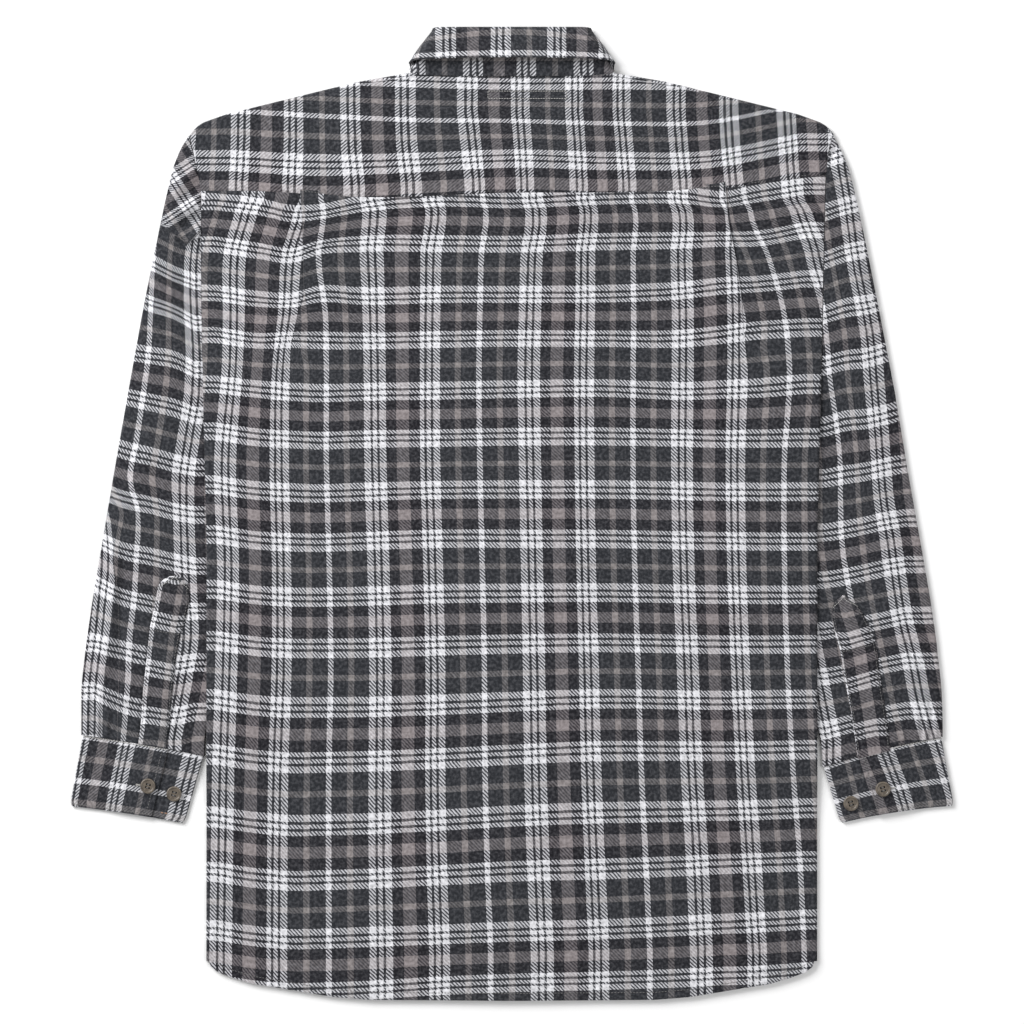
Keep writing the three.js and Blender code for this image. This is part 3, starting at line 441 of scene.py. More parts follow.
# Gathers and ripples of the back: wave length across, and turn of the waves.
RIPPLES = table("length phase tilt height", (74, 0.4, 0.1, 0.22), (47, 2.1, -0.22, 0.16), (31, 4.4, 0.3, 0.1))
UNDULATION = table("length phase tilt height", (190, 1.0, 1.9, 0.3), (133, 3.6, 0.7, 0.25), (96, 5.2, -1.4, 0.16))


def waves(rows, x, y):
    total = 0.0
    for n in range(len(rows["length"])):
        at = 2 * math.pi * (x + rows["tilt"][n] * y) / rows["length"][n] + rows["phase"][n]
        total = total + rows["height"][n] * np.sin(at + 0.8 * np.sin(at * 0.37 + y / 61))
    return total


def body_top(x, y):
    """The upper face of the back and yoke, without the pleats."""
    below_yoke = yoke_seam_at(x) - y
    gathers = waves(RIPPLES, x, y) * ease(below_yoke / 10) * (1 - ease((below_yoke - 30) / 90)) * 2
    inside = ease((edge_at(x, y) - np.abs(x)) / 30) * ease((y - hem_at(x)) / 30)
    return crown_at(x, y) + gathers + waves(UNDULATION, x, y) * inside


# ---------------------------------------------------------------- shells of cloth

low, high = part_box("front_button_1")
SHIFT = np.array([(low.x + high.x) * 500, (low.y + high.y) * 500 - FIRST_BUTTON, 0])


def place(points):
    """From the shirt's own millimetres to the frame's metres."""
    return (np.asarray(points, float) + SHIFT) / 1000


def unit(v):
    return v / np.maximum(np.linalg.norm(v, axis=-1, keepdims=True), 1e-9)


def mesh_object(name, points, faces, material, corners=None, sharp=50):
    mesh = bpy.data.meshes.new(name)
    mesh.from_pydata(place(points).tolist(), [], [list(map(int, f)) for f in faces])
    if corners is not None:
        uv = mesh.uv_layers.new(name="cloth")
        uv.data.foreach_set("uv", np.asarray(corners, np.float32).ravel() / 1000)
    mesh.shade_smooth()
    mesh.set_sharp_from_angle(angle=math.radians(sharp))
    mesh.materials.append(material)
    made = bpy.data.objects.new(name, mesh)
    bpy.context.scene.collection.objects.link(made)
    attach(made, "root")
    return made


def normals_of(grid, closed):
    if closed:
        across = np.roll(grid, -1, 1) - np.roll(grid, 1, 1)
    else:
        across = np.gradient(grid, axis=1)
    return unit(np.cross(np.gradient(grid, axis=0), across))


def shell(name, grid, cloth, thick, facing="up", keep=None, closed=False, material=None):
    """A thin wall of cloth from a grid of points. cloth holds each point's place on the cloth,
    with one column more than the grid where that is closed."""
    rows, cols = grid.shape[:2]
    normal = normals_of(grid, closed)
    if facing == "out":
        outward = np.sum(normal * (grid - grid.mean(axis=1, keepdims=True)))
    else:
        outward = np.sum(normal[..., 2]) * (-1 if facing == "down" else 1)
    turned = outward > 0
    normal = normal if turned else -normal
    points = np.concatenate([grid.reshape(-1, 3), (grid - normal * thick).reshape(-1, 3)])
    count = rows * cols
    spans = cols if closed else cols - 1
    j, i = np.meshgrid(np.arange(rows - 1), np.arange(spans), indexing="ij")
    kept = np.ones((rows - 1, spans), bool) if keep is None else keep

    def corner(dj, di):
        return (j + dj) * cols + (i + di) % cols, (j + dj) * cloth.shape[1] + i + di

    ring = [corner(0, 0), corner(0, 1), corner(1, 1), corner(1, 0)]
    sets = []

    def add(corners_, where, layers):
        vertex = np.stack([c[0][where] + count * layer for c, layer in zip(corners_, layers)], 1)
        spot = np.stack([c[1][where] for c in corners_], 1)
        sets.append((vertex, spot))

    outer = ring[::-1] if turned else ring
    add(outer, kept, (0, 0, 0, 0))
    add(outer[::-1], kept, (1, 1, 1, 1))
    padded = np.pad(kept, 1)
    if closed:
        padded[:, 0], padded[:, -1] = padded[:, -2], padded[:, 1]
    beyond = {
        (0, 1): padded[:-2, 1:-1], (1, 2): padded[1:-1, 2:],
        (2, 3): padded[2:, 1:-1], (3, 0): padded[1:-1, :-2],
    }
    for (a, b), neighbour in beyond.items():
        start, end = (ring[a], ring[b]) if turned else (ring[b], ring[a])
        add([start, end, end, start], kept & ~neighbour, (0, 0, 1, 1))
    faces = np.concatenate([s[0] for s in sets])
    corners = cloth.reshape(-1, 2)[np.concatenate([s[1] for s in sets])]
    used, faces = np.unique(faces, return_inverse=True)
    return mesh_object(name, points[used], faces.reshape(-1, 4), material or flannel, corners)


def stack(*parts):
    return np.stack(np.broadcast_arrays(*parts), axis=-1)


# ---------------------------------------------------------------- materials


def srgb(code):
    """Linear colour from a hex code."""
    parts = [int(code[k : k + 2], 16) / 255 for k in (0, 2, 4)]
    return (*[c / 12.92 if c <= 0.04045 else ((c + 0.055) / 1.055) ** 2.4 for c in parts], 1.0)


def node(tree, kind, inputs=(), **settings):
    """Adds a node, with its settings and what goes into its sockets."""
    made = tree.nodes.new(kind)
    for name, value in settings.items():
        setattr(made, name, value)
    for socket, value in dict(inputs).items():
        if isinstance(value, bpy.types.NodeSocket):
            tree.links.new(value, made.inputs[socket])
        else:
            made.inputs[socket].default_value = value
    return made


def math_node(tree, operation, *values):
    return node(tree, "ShaderNodeMath", enumerate(values), operation=operation).outputs[0]


def new_material(name):
    material = bpy.data.materials.new(name)
    material.use_nodes = True
    material.node_tree.nodes.clear()
    return material, material.node_tree


def finish(tree, shader):
    node(tree, "ShaderNodeOutputMaterial", {"Surface": shader.outputs[0]})


YARNS = {
    "white": srgb("dcdce0"), "dark": srgb("292b30"), "black": srgb("1b1a20"),
    "taupe": srgb("898182"), "fine": srgb("837e7d"),
}
# The ribs are really 1 mm apart, too fine for this distance, so they are drawn 2.3 mm apart:
# 3.3 mm from one to the next along a yarn.
TWILL = 3.3
NAP_SIZE = 360  # fibre clumps to the metre
MOTTLE_SIZE = 90
EYE = 2.8


def stripes(tree, at, sett, repeat):
    """Yarn colour along one direction of the cloth."""
    share = math_node(tree, "FRACT", math_node(tree, "DIVIDE", at, repeat / 1000))
    ramp = node(tree, "ShaderNodeValToRGB", {"Fac": share})
    ramp.color_ramp.interpolation = "CONSTANT"
    start = 0.0
    for n, (yarn, width) in enumerate(sett):
        stops = ramp.color_ramp.elements
        stop = stops[n] if n < 2 else stops.new(start / repeat)
        stop.position = start / repeat
        stop.color = YARNS[yarn]
        start += width
    return ramp.outputs["Color"]


def flannel_material(name, lean):
    """Brushed cotton twill: yarn-dyed stripes both ways, twill ribs and a soft nap.
    lean is the way its ribs slant: SUBTRACT as on the back, ADD on cloth cut crosswise."""
    material, tree = new_material(name)
    uv = node(tree, "ShaderNodeUVMap", uv_map="cloth").outputs[0]
    spread = node(tree, "ShaderNodeTexNoise", {"Vector": uv, "Scale": 260.0, "Detail": 2.0})
    wander = node(
        tree, "ShaderNodeVectorMath", {0: spread.outputs["Color"], 1: (0.5, 0.5, 0.5)}, operation="SUBTRACT"
    )
    wander = node(tree, "ShaderNodeVectorMath", {0: wander.outputs[0], "Scale": 0.0011}, operation="SCALE")
    moved = node(tree, "ShaderNodeVectorMath", {0: uv, 1: wander.outputs[0]}, operation="ADD")
    parts = node(tree, "ShaderNodeSeparateXYZ", {0: moved.outputs[0]})
    u, v = parts.outputs[0], parts.outputs[1]
    warp = stripes(tree, u, WARP_SETT, WARP_REPEAT)
    weft = stripes(tree, v, WEFT_SETT, WEFT_REPEAT)
    # Twill: two yarns over, two under, one step on at each row, which makes the slanting ribs.
    slant = math_node(tree, "DIVIDE", math_node(tree, lean, u, v), TWILL / 1000)
    rib = math_node(tree, "PINGPONG", slant, 0.5)
    ribs = node(
        tree, "ShaderNodeMapRange",
        {"Value": rib, "From Min": 0.17, "From Max": 0.33, "To Min": -1.0},
        interpolation_type="SMOOTHSTEP",
    ).outputs[0]
    # Brushing blends the yarns as the eye does, darker than their light would add up to,
    # and hides the ribs but where white crosses dark.
    warp, weft = [node(tree, "ShaderNodeGamma", {"Color": c, "Gamma": 1 / EYE}).outputs[0] for c in (warp, weft)]
    contrast = node(tree, "ShaderNodeVectorMath", {0: warp, 1: weft}, operation="DISTANCE").outputs["Value"]
    depth = node(
        tree, "ShaderNodeMapRange",
        {"Value": contrast, "From Min": 0.5, "From Max": 1.0, "To Min": 0.15, "To Max": 0.36},
    ).outputs[0]
    over = math_node(tree, "MULTIPLY_ADD", ribs, depth, 0.5)
    woven = node(tree, "ShaderNodeMix", {"Factor": over, "A": warp, "B": weft}, data_type="RGBA")
    woven = node(tree, "ShaderNodeGamma", {"Color": woven.outputs["Result"], "Gamma": EYE}).outputs[0]
    nap = node(tree, "ShaderNodeTexNoise", {"Vector": uv, "Scale": float(NAP_SIZE), "Detail": 3.0}).outputs[0]
    mottle = node(
        tree, "ShaderNodeTexNoise", {"Vector": uv, "Scale": float(MOTTLE_SIZE), "Detail": 4.0}
    ).outputs[0]
    shade = node(
        tree, "ShaderNodeMapRange", {"Value": nap, "From Min": 0.25, "From Max": 0.75, "To Min": 0.62, "To Max": 1.34}
    ).outputs[0]
    patch = node(
        tree, "ShaderNodeMapRange", {"Value": mottle, "From Min": 0.3, "From Max": 0.7, "To Min": 0.93, "To Max": 1.06}
    ).outputs[0]
    tone = math_node(tree, "MULTIPLY", shade, patch)
    colour = node(tree, "ShaderNodeVectorMath", {0: woven, "Scale": tone}, operation="SCALE").outputs[0]
    fluff = node(
        tree, "ShaderNodeMapRange", {"Value": nap, "From Min": 0.45, "From Max": 0.75, "To Max": 0.12}
    ).outputs[0]
    colour = node(
        tree, "ShaderNodeMix", {"Factor": fluff, "A": colour, "B": srgb("a9a8ab")}, data_type="RGBA"
    ).outputs["Result"]
    height = math_node(tree, "ADD", math_node(tree, "MULTIPLY", rib, 0.7), nap)
    bump = node(tree, "ShaderNodeBump", {"Height": height, "Distance": 0.00022, "Strength": 0.8})
    shader = node(
        tree, "ShaderNodeBsdfPrincipled",
        {
            "Base Color": colour, "Roughness": 0.95, "Specular IOR Level": 0.2,
            "Sheen Weight": 0.05, "Sheen Roughness": 0.6, "Normal": bump.outputs[0],
        },
    )
    finish(tree, shader)
    return material


def thread_material(name, code):
    """Twisted sewing thread."""
    material, tree = new_material(name)
    place_ = node(tree, "ShaderNodeTexCoord").outputs["Object"]
    fibre = node(tree, "ShaderNodeTexNoise", {"Vector": place_, "Scale": 1800.0, "Detail": 2.0}).outputs[0]
    colour = node(
        tree, "ShaderNodeMix", {"Factor": fibre, "A": srgb(code), "B": srgb("8e8c8a")}, data_type="RGBA"
    )
    bump = node(tree, "ShaderNodeBump", {"Height": fibre, "Distance": 0.0001, "Strength": 0.6})
    finish(tree, node(
        tree, "ShaderNodeBsdfPrincipled",
        {"Base Color": colour.outputs["Result"], "Roughness": 0.7, "Normal": bump.outputs[0]},
    ))
    return material


def button_material():
    """Polyester horn: cloudy grey-brown, satin."""
    material, tree = new_material("horn-look polyester")
    place_ = node(tree, "ShaderNodeTexCoord").outputs["Object"]
    cloud = node(
        tree, "ShaderNodeTexNoise", {"Vector": place_, "Scale": 170.0, "Detail": 5.0, "Distortion": 1.2}
    ).outputs[0]
    ramp = node(tree, "ShaderNodeValToRGB", {"Fac": cloud})
    ramp.color_ramp.elements[0].position = 0.3
    ramp.color_ramp.elements[0].color = srgb("463f38")
    ramp.color_ramp.elements[1].position = 0.7
    ramp.color_ramp.elements[1].color = srgb("776d61")
    rough = node(
        tree, "ShaderNodeMapRange", {"Value": cloud, "To Min": 0.28, "To Max": 0.45}
    ).outputs[0]
    finish(tree, node(
        tree, "ShaderNodeBsdfPrincipled",
        {"Base Color": ramp.outputs[0], "Roughness": rough, "IOR": 1.54},
    ))
    return material


flannel = flannel_material("brushed cotton twill", "SUBTRACT")
flannel_turned = flannel_material("brushed cotton twill, cut crosswise", "ADD")
light_thread = thread_material("pale sewing thread", "d6d5d2")
dark_thread = thread_material("charcoal sewing thread", "4a4b4f")
bar_thread = thread_material("tan sewing thread", "b0703c")
horn = button_material()

# ---------------------------------------------------------------- back


def back_cloth(x, y):
    left = read_soft(PLEATS, "y", y, "left", 5)
    right = read_soft(PLEATS, "y", y, "right", 5)
    pressed = ease((y - 130) / 50)
    u = warp_at(x, y, BACK_WARP, folds=[(left, "a-1", pressed), (right, "a2", pressed)])
    return stack(u, weft_at(x, y, BACK_WEFT))


UNDER_YOKE = 3.0  # the back runs on this far under the yoke's edge
HEM_DEEP = 8.0


def back_piece():
    """The back: the pleats' folds, the side edges that roll under, and the stitched hem."""
    fold_steps = np.array([-1.6, -0.7, -0.15, 0.0, 0.35, 1.0, 2.2])
    left0, right0 = PLEATS["left"][-1], PLEATS["right"][-1]
    roll = np.array([math.radians(a) for a in (0, 15, 30, 45, 60, 75, 90)])
    base = [np.full(len(roll) + 1, -HALF_WIDTH)]
    base += [np.linspace(-HALF_WIDTH + 4, left0 - 4, 26), np.full(7, left0)]
    base += [np.linspace(left0 + 5, right0 - 5, 122), np.full(7, right0)]
    base += [np.linspace(right0 + 4, HALF_WIDTH - 4, 22), np.full(len(roll) + 1, HALF_WIDTH)]
    base = np.concatenate(base)
    n_roll = len(roll) + 1
    shift = np.zeros(len(base))
    at = n_roll + 26
    shift[at : at + 7] = fold_steps
    at += 7 + 122
    shift[at : at + 7] = -fold_steps[::-1]
    over = np.concatenate([[-UNDER_YOKE, -1.2, -0.3, 0.4, 1.4, 3], np.linspace(6, 170, 52)])
    down = np.concatenate([np.linspace(0.25, 0.978, 130), 1 - np.array([5.5, 3.5, 2, 1, 0.4, 0.1]) / 745])
    top = yoke_seam_at(base)
    hem = hem_at(base)
    length = top - hem
    y = np.concatenate([top - over[:, None] * np.ones_like(base), top - down[:, None] * length])
    flat_base = np.broadcast_to(base, y.shape)
    left = read_soft(PLEATS, "y", y, "left", 5)
    right = read_soft(PLEATS, "y", y, "right", 5)
    nominal = [-HALF_WIDTH, left0, 0.0, right0, HALF_WIDTH]
    actual = [-edge_at(-1, y), left, 0 * y, right, edge_at(1, y)]
    x = stepped(flat_base, nominal, actual) + shift
    z = body_top(x, y) + pleat_at(x, y) + ridges(BACK_FOLDS, x, y)
    fold_edge = np.minimum(np.abs(x - left), np.abs(x - right))
    z = z - 0.25 * np.exp(-((fold_edge / 0.8) ** 2)) * ease(read(PLEATS, "y", y, "height") * 2)
    z = z - 1.1 * ease((y - top + 0.6) / 1.4)
    above_hem = y - hem
    z = z + 0.45 * (1 - ease((above_hem - HEM_DEEP) / 1.2)) - 0.35 * (1 - ease(above_hem / 2.2))
    z = z - 0.25 * np.exp(-(((above_hem - HEM_DEEP + 1) / 1.1) ** 2))
    curl = ease((140 - y) / 30)
    for side, columns in (("left", slice(0, n_roll)), ("right", slice(len(base) - n_roll, None))):
        sign = -1 if side == "left" else 1
        angles = np.concatenate([roll, [roll[-1]]])
        out = EDGE_ROUND * (1 - np.sin(angles))
        drop = EDGE_ROUND * (1 - np.cos(angles))
        drop[-1] = 9
        flat = np.linspace(EDGE_ROUND, 0, len(angles))
        if side == "left":
            out, drop, flat = out[::-1], drop[::-1], flat[::-1]
        rows = y[:, columns]
        edge = edge_at(sign, rows)
        folded = curl[:, columns]
        high = crown_at(sign * edge, rows)
        deepest = high - under_front(sign * edge, rows, side) - 0.15
        x[:, columns] = sign * (edge - mix(flat, out, folded))
        z[:, columns] = z[:, columns] - np.minimum(drop, deepest) * folded - 0.5 * (1 - folded) * (1 - flat / 3)
    grid = stack(x, y, z)
    made = shell("cloth_back", grid, back_cloth(x, y), CLOTH)
    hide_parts("back")
    return made, grid


# ---------------------------------------------------------------- yoke


def yoke_cloth(x, y):
    """The yoke's lengthwise yarns run across the shirt."""
    level = {name: YOKE_WARP[name] for name in ("x", "a0", "s0", "b0")}
    places = [-read_curve(level, "x", x, name) for name in ("a0", "s0", "b0")]
    names = ["a0", "s0", "b0"]
    values = [cloth_of(name, WARP_LINES, WARP_REPEAT) for name in names]
    band = -read_curve(YOKE_WARP, "x", x, "band0")
    u = stepped(-y, [*places, band], [*values, WARP_LINES["b"] + 25.1])
    names = [name for name in YOKE_WEFT if name != "y"]
    places = [read_curve(YOKE_WEFT, "y", y, name) for name in names]
    v = stepped(x, places, [cloth_of(name, WEFT_LINES, WEFT_REPEAT) for name in names])
    return stack(u, v)


def yoke_piece():
    """The yoke: its lower edge folded under, its shoulders rolled over to the front."""
    neck = np.linspace(90, 0, 34)[:-1]
    shoulder = np.concatenate([np.linspace(94, 284, 56), [287, 289.5, 292, 294, 296, 297.5]])
    rows_up = np.concatenate([[0.0, 0.004, 0.012, 0.025, 0.05], np.linspace(0.09, 1, 30)])
    bends = np.radians(np.linspace(90, -90, 11))[1:]
    strip = np.linspace(0, 1, 8)[1:]
    parts = []
    for sign in (-1, 1):
        turn = np.radians(np.concatenate([neck, np.zeros(len(shoulder))]))
        is_neck = np.arange(len(turn)) < len(neck)
        reach = np.concatenate([np.full(len(neck), 94.0), shoulder])
        share = np.arange(len(turn)) / (len(turn) - 1)
        side_at = edge_at(sign, 300.0)
        bottom_x = np.where(reach <= 284, share / share[reach <= 284][-1] * (side_at - 7), side_at - (297.5 - reach) / 2)
        bottom = np.stack([sign * bottom_x, yoke_seam_at(sign * bottom_x)], 1)
        top = np.stack([sign * reach, read_soft(SHOULDER, "x", reach, "fold", 1.5)], 1)
        top[is_neck, 0] = (sign * 94 * np.cos(turn))[is_neck]
        top[is_neck, 1] = mix(406.6, 402.6, np.sin(turn))[is_neck]
        seam = np.stack([sign * read(SHOULDER, "x", reach, "seam_x"), read(SHOULDER, "x", reach, "seam")], 1)
        high = crown_at(top[:, 0], top[:, 1])
        low_ = under_front(top[:, 0], top[:, 1] - 10, "left")
        round_ = np.where(is_neck, 0, (high - low_) / 2)
        down = unit(bottom - top)
        tip = top + down * round_[:, None]
        points, spots = [], []
        for v in rows_up:
            p = mix(bottom, tip, v)
            rise = 0.55 * (1 - ease(np.hypot(*(p - bottom).T) / 9)) - 0.45 * (1 - ease(np.hypot(*(p - bottom).T) / 1.6))
            z = np.where(v == 1, high, body_top(p[:, 0], p[:, 1])) + rise + ridges(BACK_FOLDS, p[:, 0], p[:, 1]) * 0.3
            points.append(np.column_stack([p, z]))
            spots.append(p)
        along = unit(seam - top)
        for bend in bends:
            p = top + along * (round_ * (1 - math.cos(bend)))[:, None]
            p = np.where(bend > 0, top + down * (round_ * (1 - math.cos(bend)))[:, None], p)
            points.append(np.column_stack([p, (high + low_) / 2 + round_ * math.sin(bend)]))
            spots.append(top - down * (round_ * (1 - math.sin(bend)) * 0.9)[:, None])
        start = top + along * round_[:, None]
        for v in strip:
            p = mix(start, seam, v)
            points.append(np.column_stack([p, under_front(p[:, 0], p[:, 1], "left")]))
            spots.append(top - down * (round_ * 1.8 + v * np.hypot(*(seam - start).T))[:, None])
        points, spots = np.stack(points), np.stack(spots)
        # the outer columns follow the armhole
        pull = np.clip((reach - 284) / 13.5, 0, 1) * (1 - ease((points[..., 1] - 335) / 16))
        edge = edge_at(sign, points[..., 1]) + 0.3
        outer = sign * (edge - (297.5 - reach) * 0.55)
        points[..., 0] = mix(points[..., 0], outer, pull)
        points[..., 2] -= 0.6 * np.clip((reach - 293) / 4, 0, 1) * (np.arange(len(points)) < len(rows_up))[:, None]
        parts.append((points, spots, is_neck))
    (left, left_spots, is_neck), (right, right_spots, _) = parts
    grid = np.concatenate([left[:, ::-1], right[:, 1:]], axis=1)
    spots = np.concatenate([left_spots[:, ::-1], right_spots[:, 1:]], axis=1)
    count = left.shape[1]
    neck_spans = int(is_neck.sum())
    rows_kept = np.arange(grid.shape[0] - 1) < len(rows_up) - 1
    spans = np.arange(grid.shape[1] - 1)
    in_neck = (spans >= count - 1 - neck_spans) & (spans < count - 1 + neck_spans)
    keep = rows_kept[:, None] | ~in_neck[None, :]
    cloth = yoke_cloth(spots[..., 0], spots[..., 1])
    made = shell("cloth_yoke", grid, cloth, CLOTH, keep=keep, material=flannel_turned)
    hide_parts("yoke")
    return made, grid[: len(rows_up)]


# ---------------------------------------------------------------- fronts


def neck_curve(x):
    across = np.minimum(np.abs(x) / NECK["half"], 1)
    return NECK["side"] - NECK["drop"] * np.sqrt(1 - across**2) - 0.4


def front_piece(side):
    """A front, plain and flat where it rests, lifted over the sleeve, collar and buttons."""
    sign = -1 if side == "left" else 1
    inner = BAND_HALF + 0.4 if side == "left" else -LAP
    across = np.concatenate([np.linspace(inner, NECK_EDGE, 30), np.linspace(NECK_EDGE, HALF_WIDTH, 50)[1:]])
    v = np.concatenate([np.linspace(0, 0.4, 70), np.linspace(0.4, 1, 60)[1:]])[:, None]
    top_half = edge_at(sign, float(FRONT_TOP)) - 0.3
    share = np.maximum(across - NECK_EDGE, 0) / (HALF_WIDTH - NECK_EDGE)
    wide = np.where(share > 0, mix(NECK_EDGE, top_half, share), across)
    seam = read(SHOULDER, "seam_x", np.abs(wide), "seam") - 0.4
    top = np.where(np.abs(wide) <= NECK_EDGE, neck_curve(wide), seam)
    y = mix(top, hem_at(across) + 0.6, v)
    widest = edge_at(sign, np.minimum(y, FRONT_TOP)) - mix(0.4, 2.2, ease((140 - y) / 30))
    x = sign * np.where(share > 0, mix(NECK_EDGE, widest, share), across)
    grid = stack(x, y, under_front(x, y, side))
    u = np.where(x > -1000, sign * x + 40, 0)
    v_cloth = weft_at(np.clip(x, -270, 270), y, BACK_WEFT)
    made = shell(f"cloth_front_{side}", grid, stack(u, v_cloth), CLOTH, facing="down")
    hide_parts(f"front_{side}")
    return made


def front_band():
    x = np.linspace(-BAND_HALF, BAND_HALF, 16)
    v = np.linspace(0, 1, 120)[:, None]
    y = mix(neck_curve(x), hem_at(x) + 0.6, v)
    z = OVER_BUTTONS * ease((y + 330) / 70) + 0 * x
    made = shell("cloth_button_band", stack(x + 0 * y, y, z), stack(x + 52, weft_at(x, y, BACK_WEFT)), BAND, facing="down")
    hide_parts("front_placket")
    return made


# ---------------------------------------------------------------- sleeves


def cuff_place(arm, across, down):
    (ax, ay), (bx, by), (cx, cy), (dx, dy) = arm["corners"]
    bow = arm["bow"] * 4 * across * (1 - across)
    x = mix(mix(ax, bx, across), mix(dx, cx, across), down)
    y = mix(mix(ay, by, across), mix(dy, cy, across), down) + bow
    return x, y


def sleeve_lines(side, shares, count):
    """Points across the sleeve at each of its rings: arrays of rings by shares, and the rings."""
    arm = ARMS[side]
    sign = arm["sign"]
    steps = np.concatenate([[0], np.cumsum(SLEEVE_RINGS["steps"][:-1])])
    at = np.linspace(0, steps[-1], count)
    ring = {name: np.interp(at, steps, SLEEVE_RINGS[name]) for name in SLEEVE_RINGS}
    outer_x = sign * read_soft(SLEEVE_OUTER, "y", ring["outer"], side, 1.5)
    a = np.stack([outer_x, ring["outer"]], 1)
    b = np.stack([sign * ring["bend_x"], ring["bend_y"]], 1)
    c = np.stack([sign * ring["x"], ring["y"]], 1)
    t = np.linspace(0, 1, 60)[None, :, None]
    curve = a[:, None] * (1 - t) ** 2 + 2 * b[:, None] * t * (1 - t) + c[:, None] * t**2
    length = np.concatenate(
        [np.zeros((count, 1)), np.cumsum(np.hypot(*np.moveaxis(np.diff(curve, axis=1), -1, 0)), axis=1)], axis=1
    )
    length /= length[:, -1:]
    x = np.stack([np.interp(shares, length[k], curve[k, :, 0]) for k in range(count)])
    y = np.stack([np.interp(shares, length[k], curve[k, :, 1]) for k in range(count)])
    to_armhole = ease((ring["outer"] - 275) / 70)[:, None]
    to_cuff = ease((-ring["outer"] - 120) / 83)[:, None]
    first = {name: SLEEVE_RINGS[name][0] for name in SLEEVE_RINGS}
    bowed = edge_at(sign, mix(first["outer"], first["y"], shares)) + 0.3
    straight = mix(read(SLEEVE_OUTER, "y", first["outer"], side), first["x"], shares)
    x = x + sign * (bowed - straight) * to_armhole * np.minimum(1, shares * 12)
    cx, cy = cuff_place(arm, shares, 0)
    return mix(x, cx, to_cuff), mix(y, cy + CUFF_GAP + ring["outer"][:, None] - SLEEVE_END, to_cuff), ring


def sleeve_cloth(side, x, y):
    folds = []
    if side == "left":
        folds = [(read_soft(DEEP_FOLD, "y", y, "x", 6), "a0", ease((DEEP_FOLD["y"].max() - y) / 50))]
    u = warp_at(x, np.clip(y, -207, 320), SLEEVE_WARP[side], folds)
    v = weft_at(x, y, SLEEVE_WEFT[side])
    if side == "left":
        dx, dy = x - BUCKLE["x"], y - BUCKLE["y"]
        over = x - BUCKLE["fold_x"]
        fold = BUCKLE["fold_y"] + np.where(over < 0, -over * BUCKLE["outward"], over * BUCKLE["inward"])
        turned = ease((y - fold) / 1.6 + 0.5)
        c, n = math.cos(math.radians(BUCKLE["turn"])), math.sin(math.radians(BUCKLE["turn"]))
        u = mix(u, BUCKLE["u"] + BUCKLE["scale"] * (c * dx + n * dy), turned)
        v = mix(v, BUCKLE["v"] + BUCKLE["scale"] * (n * dx - c * dy), turned)
    return stack(u, v)


# Outline of each tower placket: its left and right edge at each height.
TOWERS = {
    "left": table(
        "y left right",
        (-56.6, -314, -306), (-58.6, -319, -302.5), (-62, -323, -299.6), (-66.5, -325.8, -297.6), (-78.7, -327.5, -297.2),
        (-93.4, -330.4, -299.9), (-105.3, -333, -304.5), (-131, -335.8, -309.1), (-164.2, -339.5, -312.8),
        (-188.1, -341, -315), (-199.2, -342.2, -316.5), (-213, -344, -318.5),
    ),
    "right": table(
        "y left right",
        (-74.5, 304.7, 305.7), (-79.6, 297.6, 311.5), (-83.3, 295.5, 317.4), (-91.5, 294.6, 322),
        (-108.1, 298.1, 329.8), (-120, 301.8, 334.0), (-136.6, 304.5, 336.7), (-158.7, 308.2, 339.5),
        (-176.2, 311.9, 342.2), (-188.1, 313.7, 344.1), (-221, 318.3, 348.5),
    ),
}


def beside_tower(side, x, y):
    """How far a point lies outside the tower placket's edge, measured across it."""
    rows = TOWERS[side]
    top = rows["y"].max()
    left = read(rows, "y", y, "left")
    right = read(rows, "y", y, "right")
    off = np.maximum(left - x, x - right)
    return np.where(y > top, np.hypot(off, y - top), off)


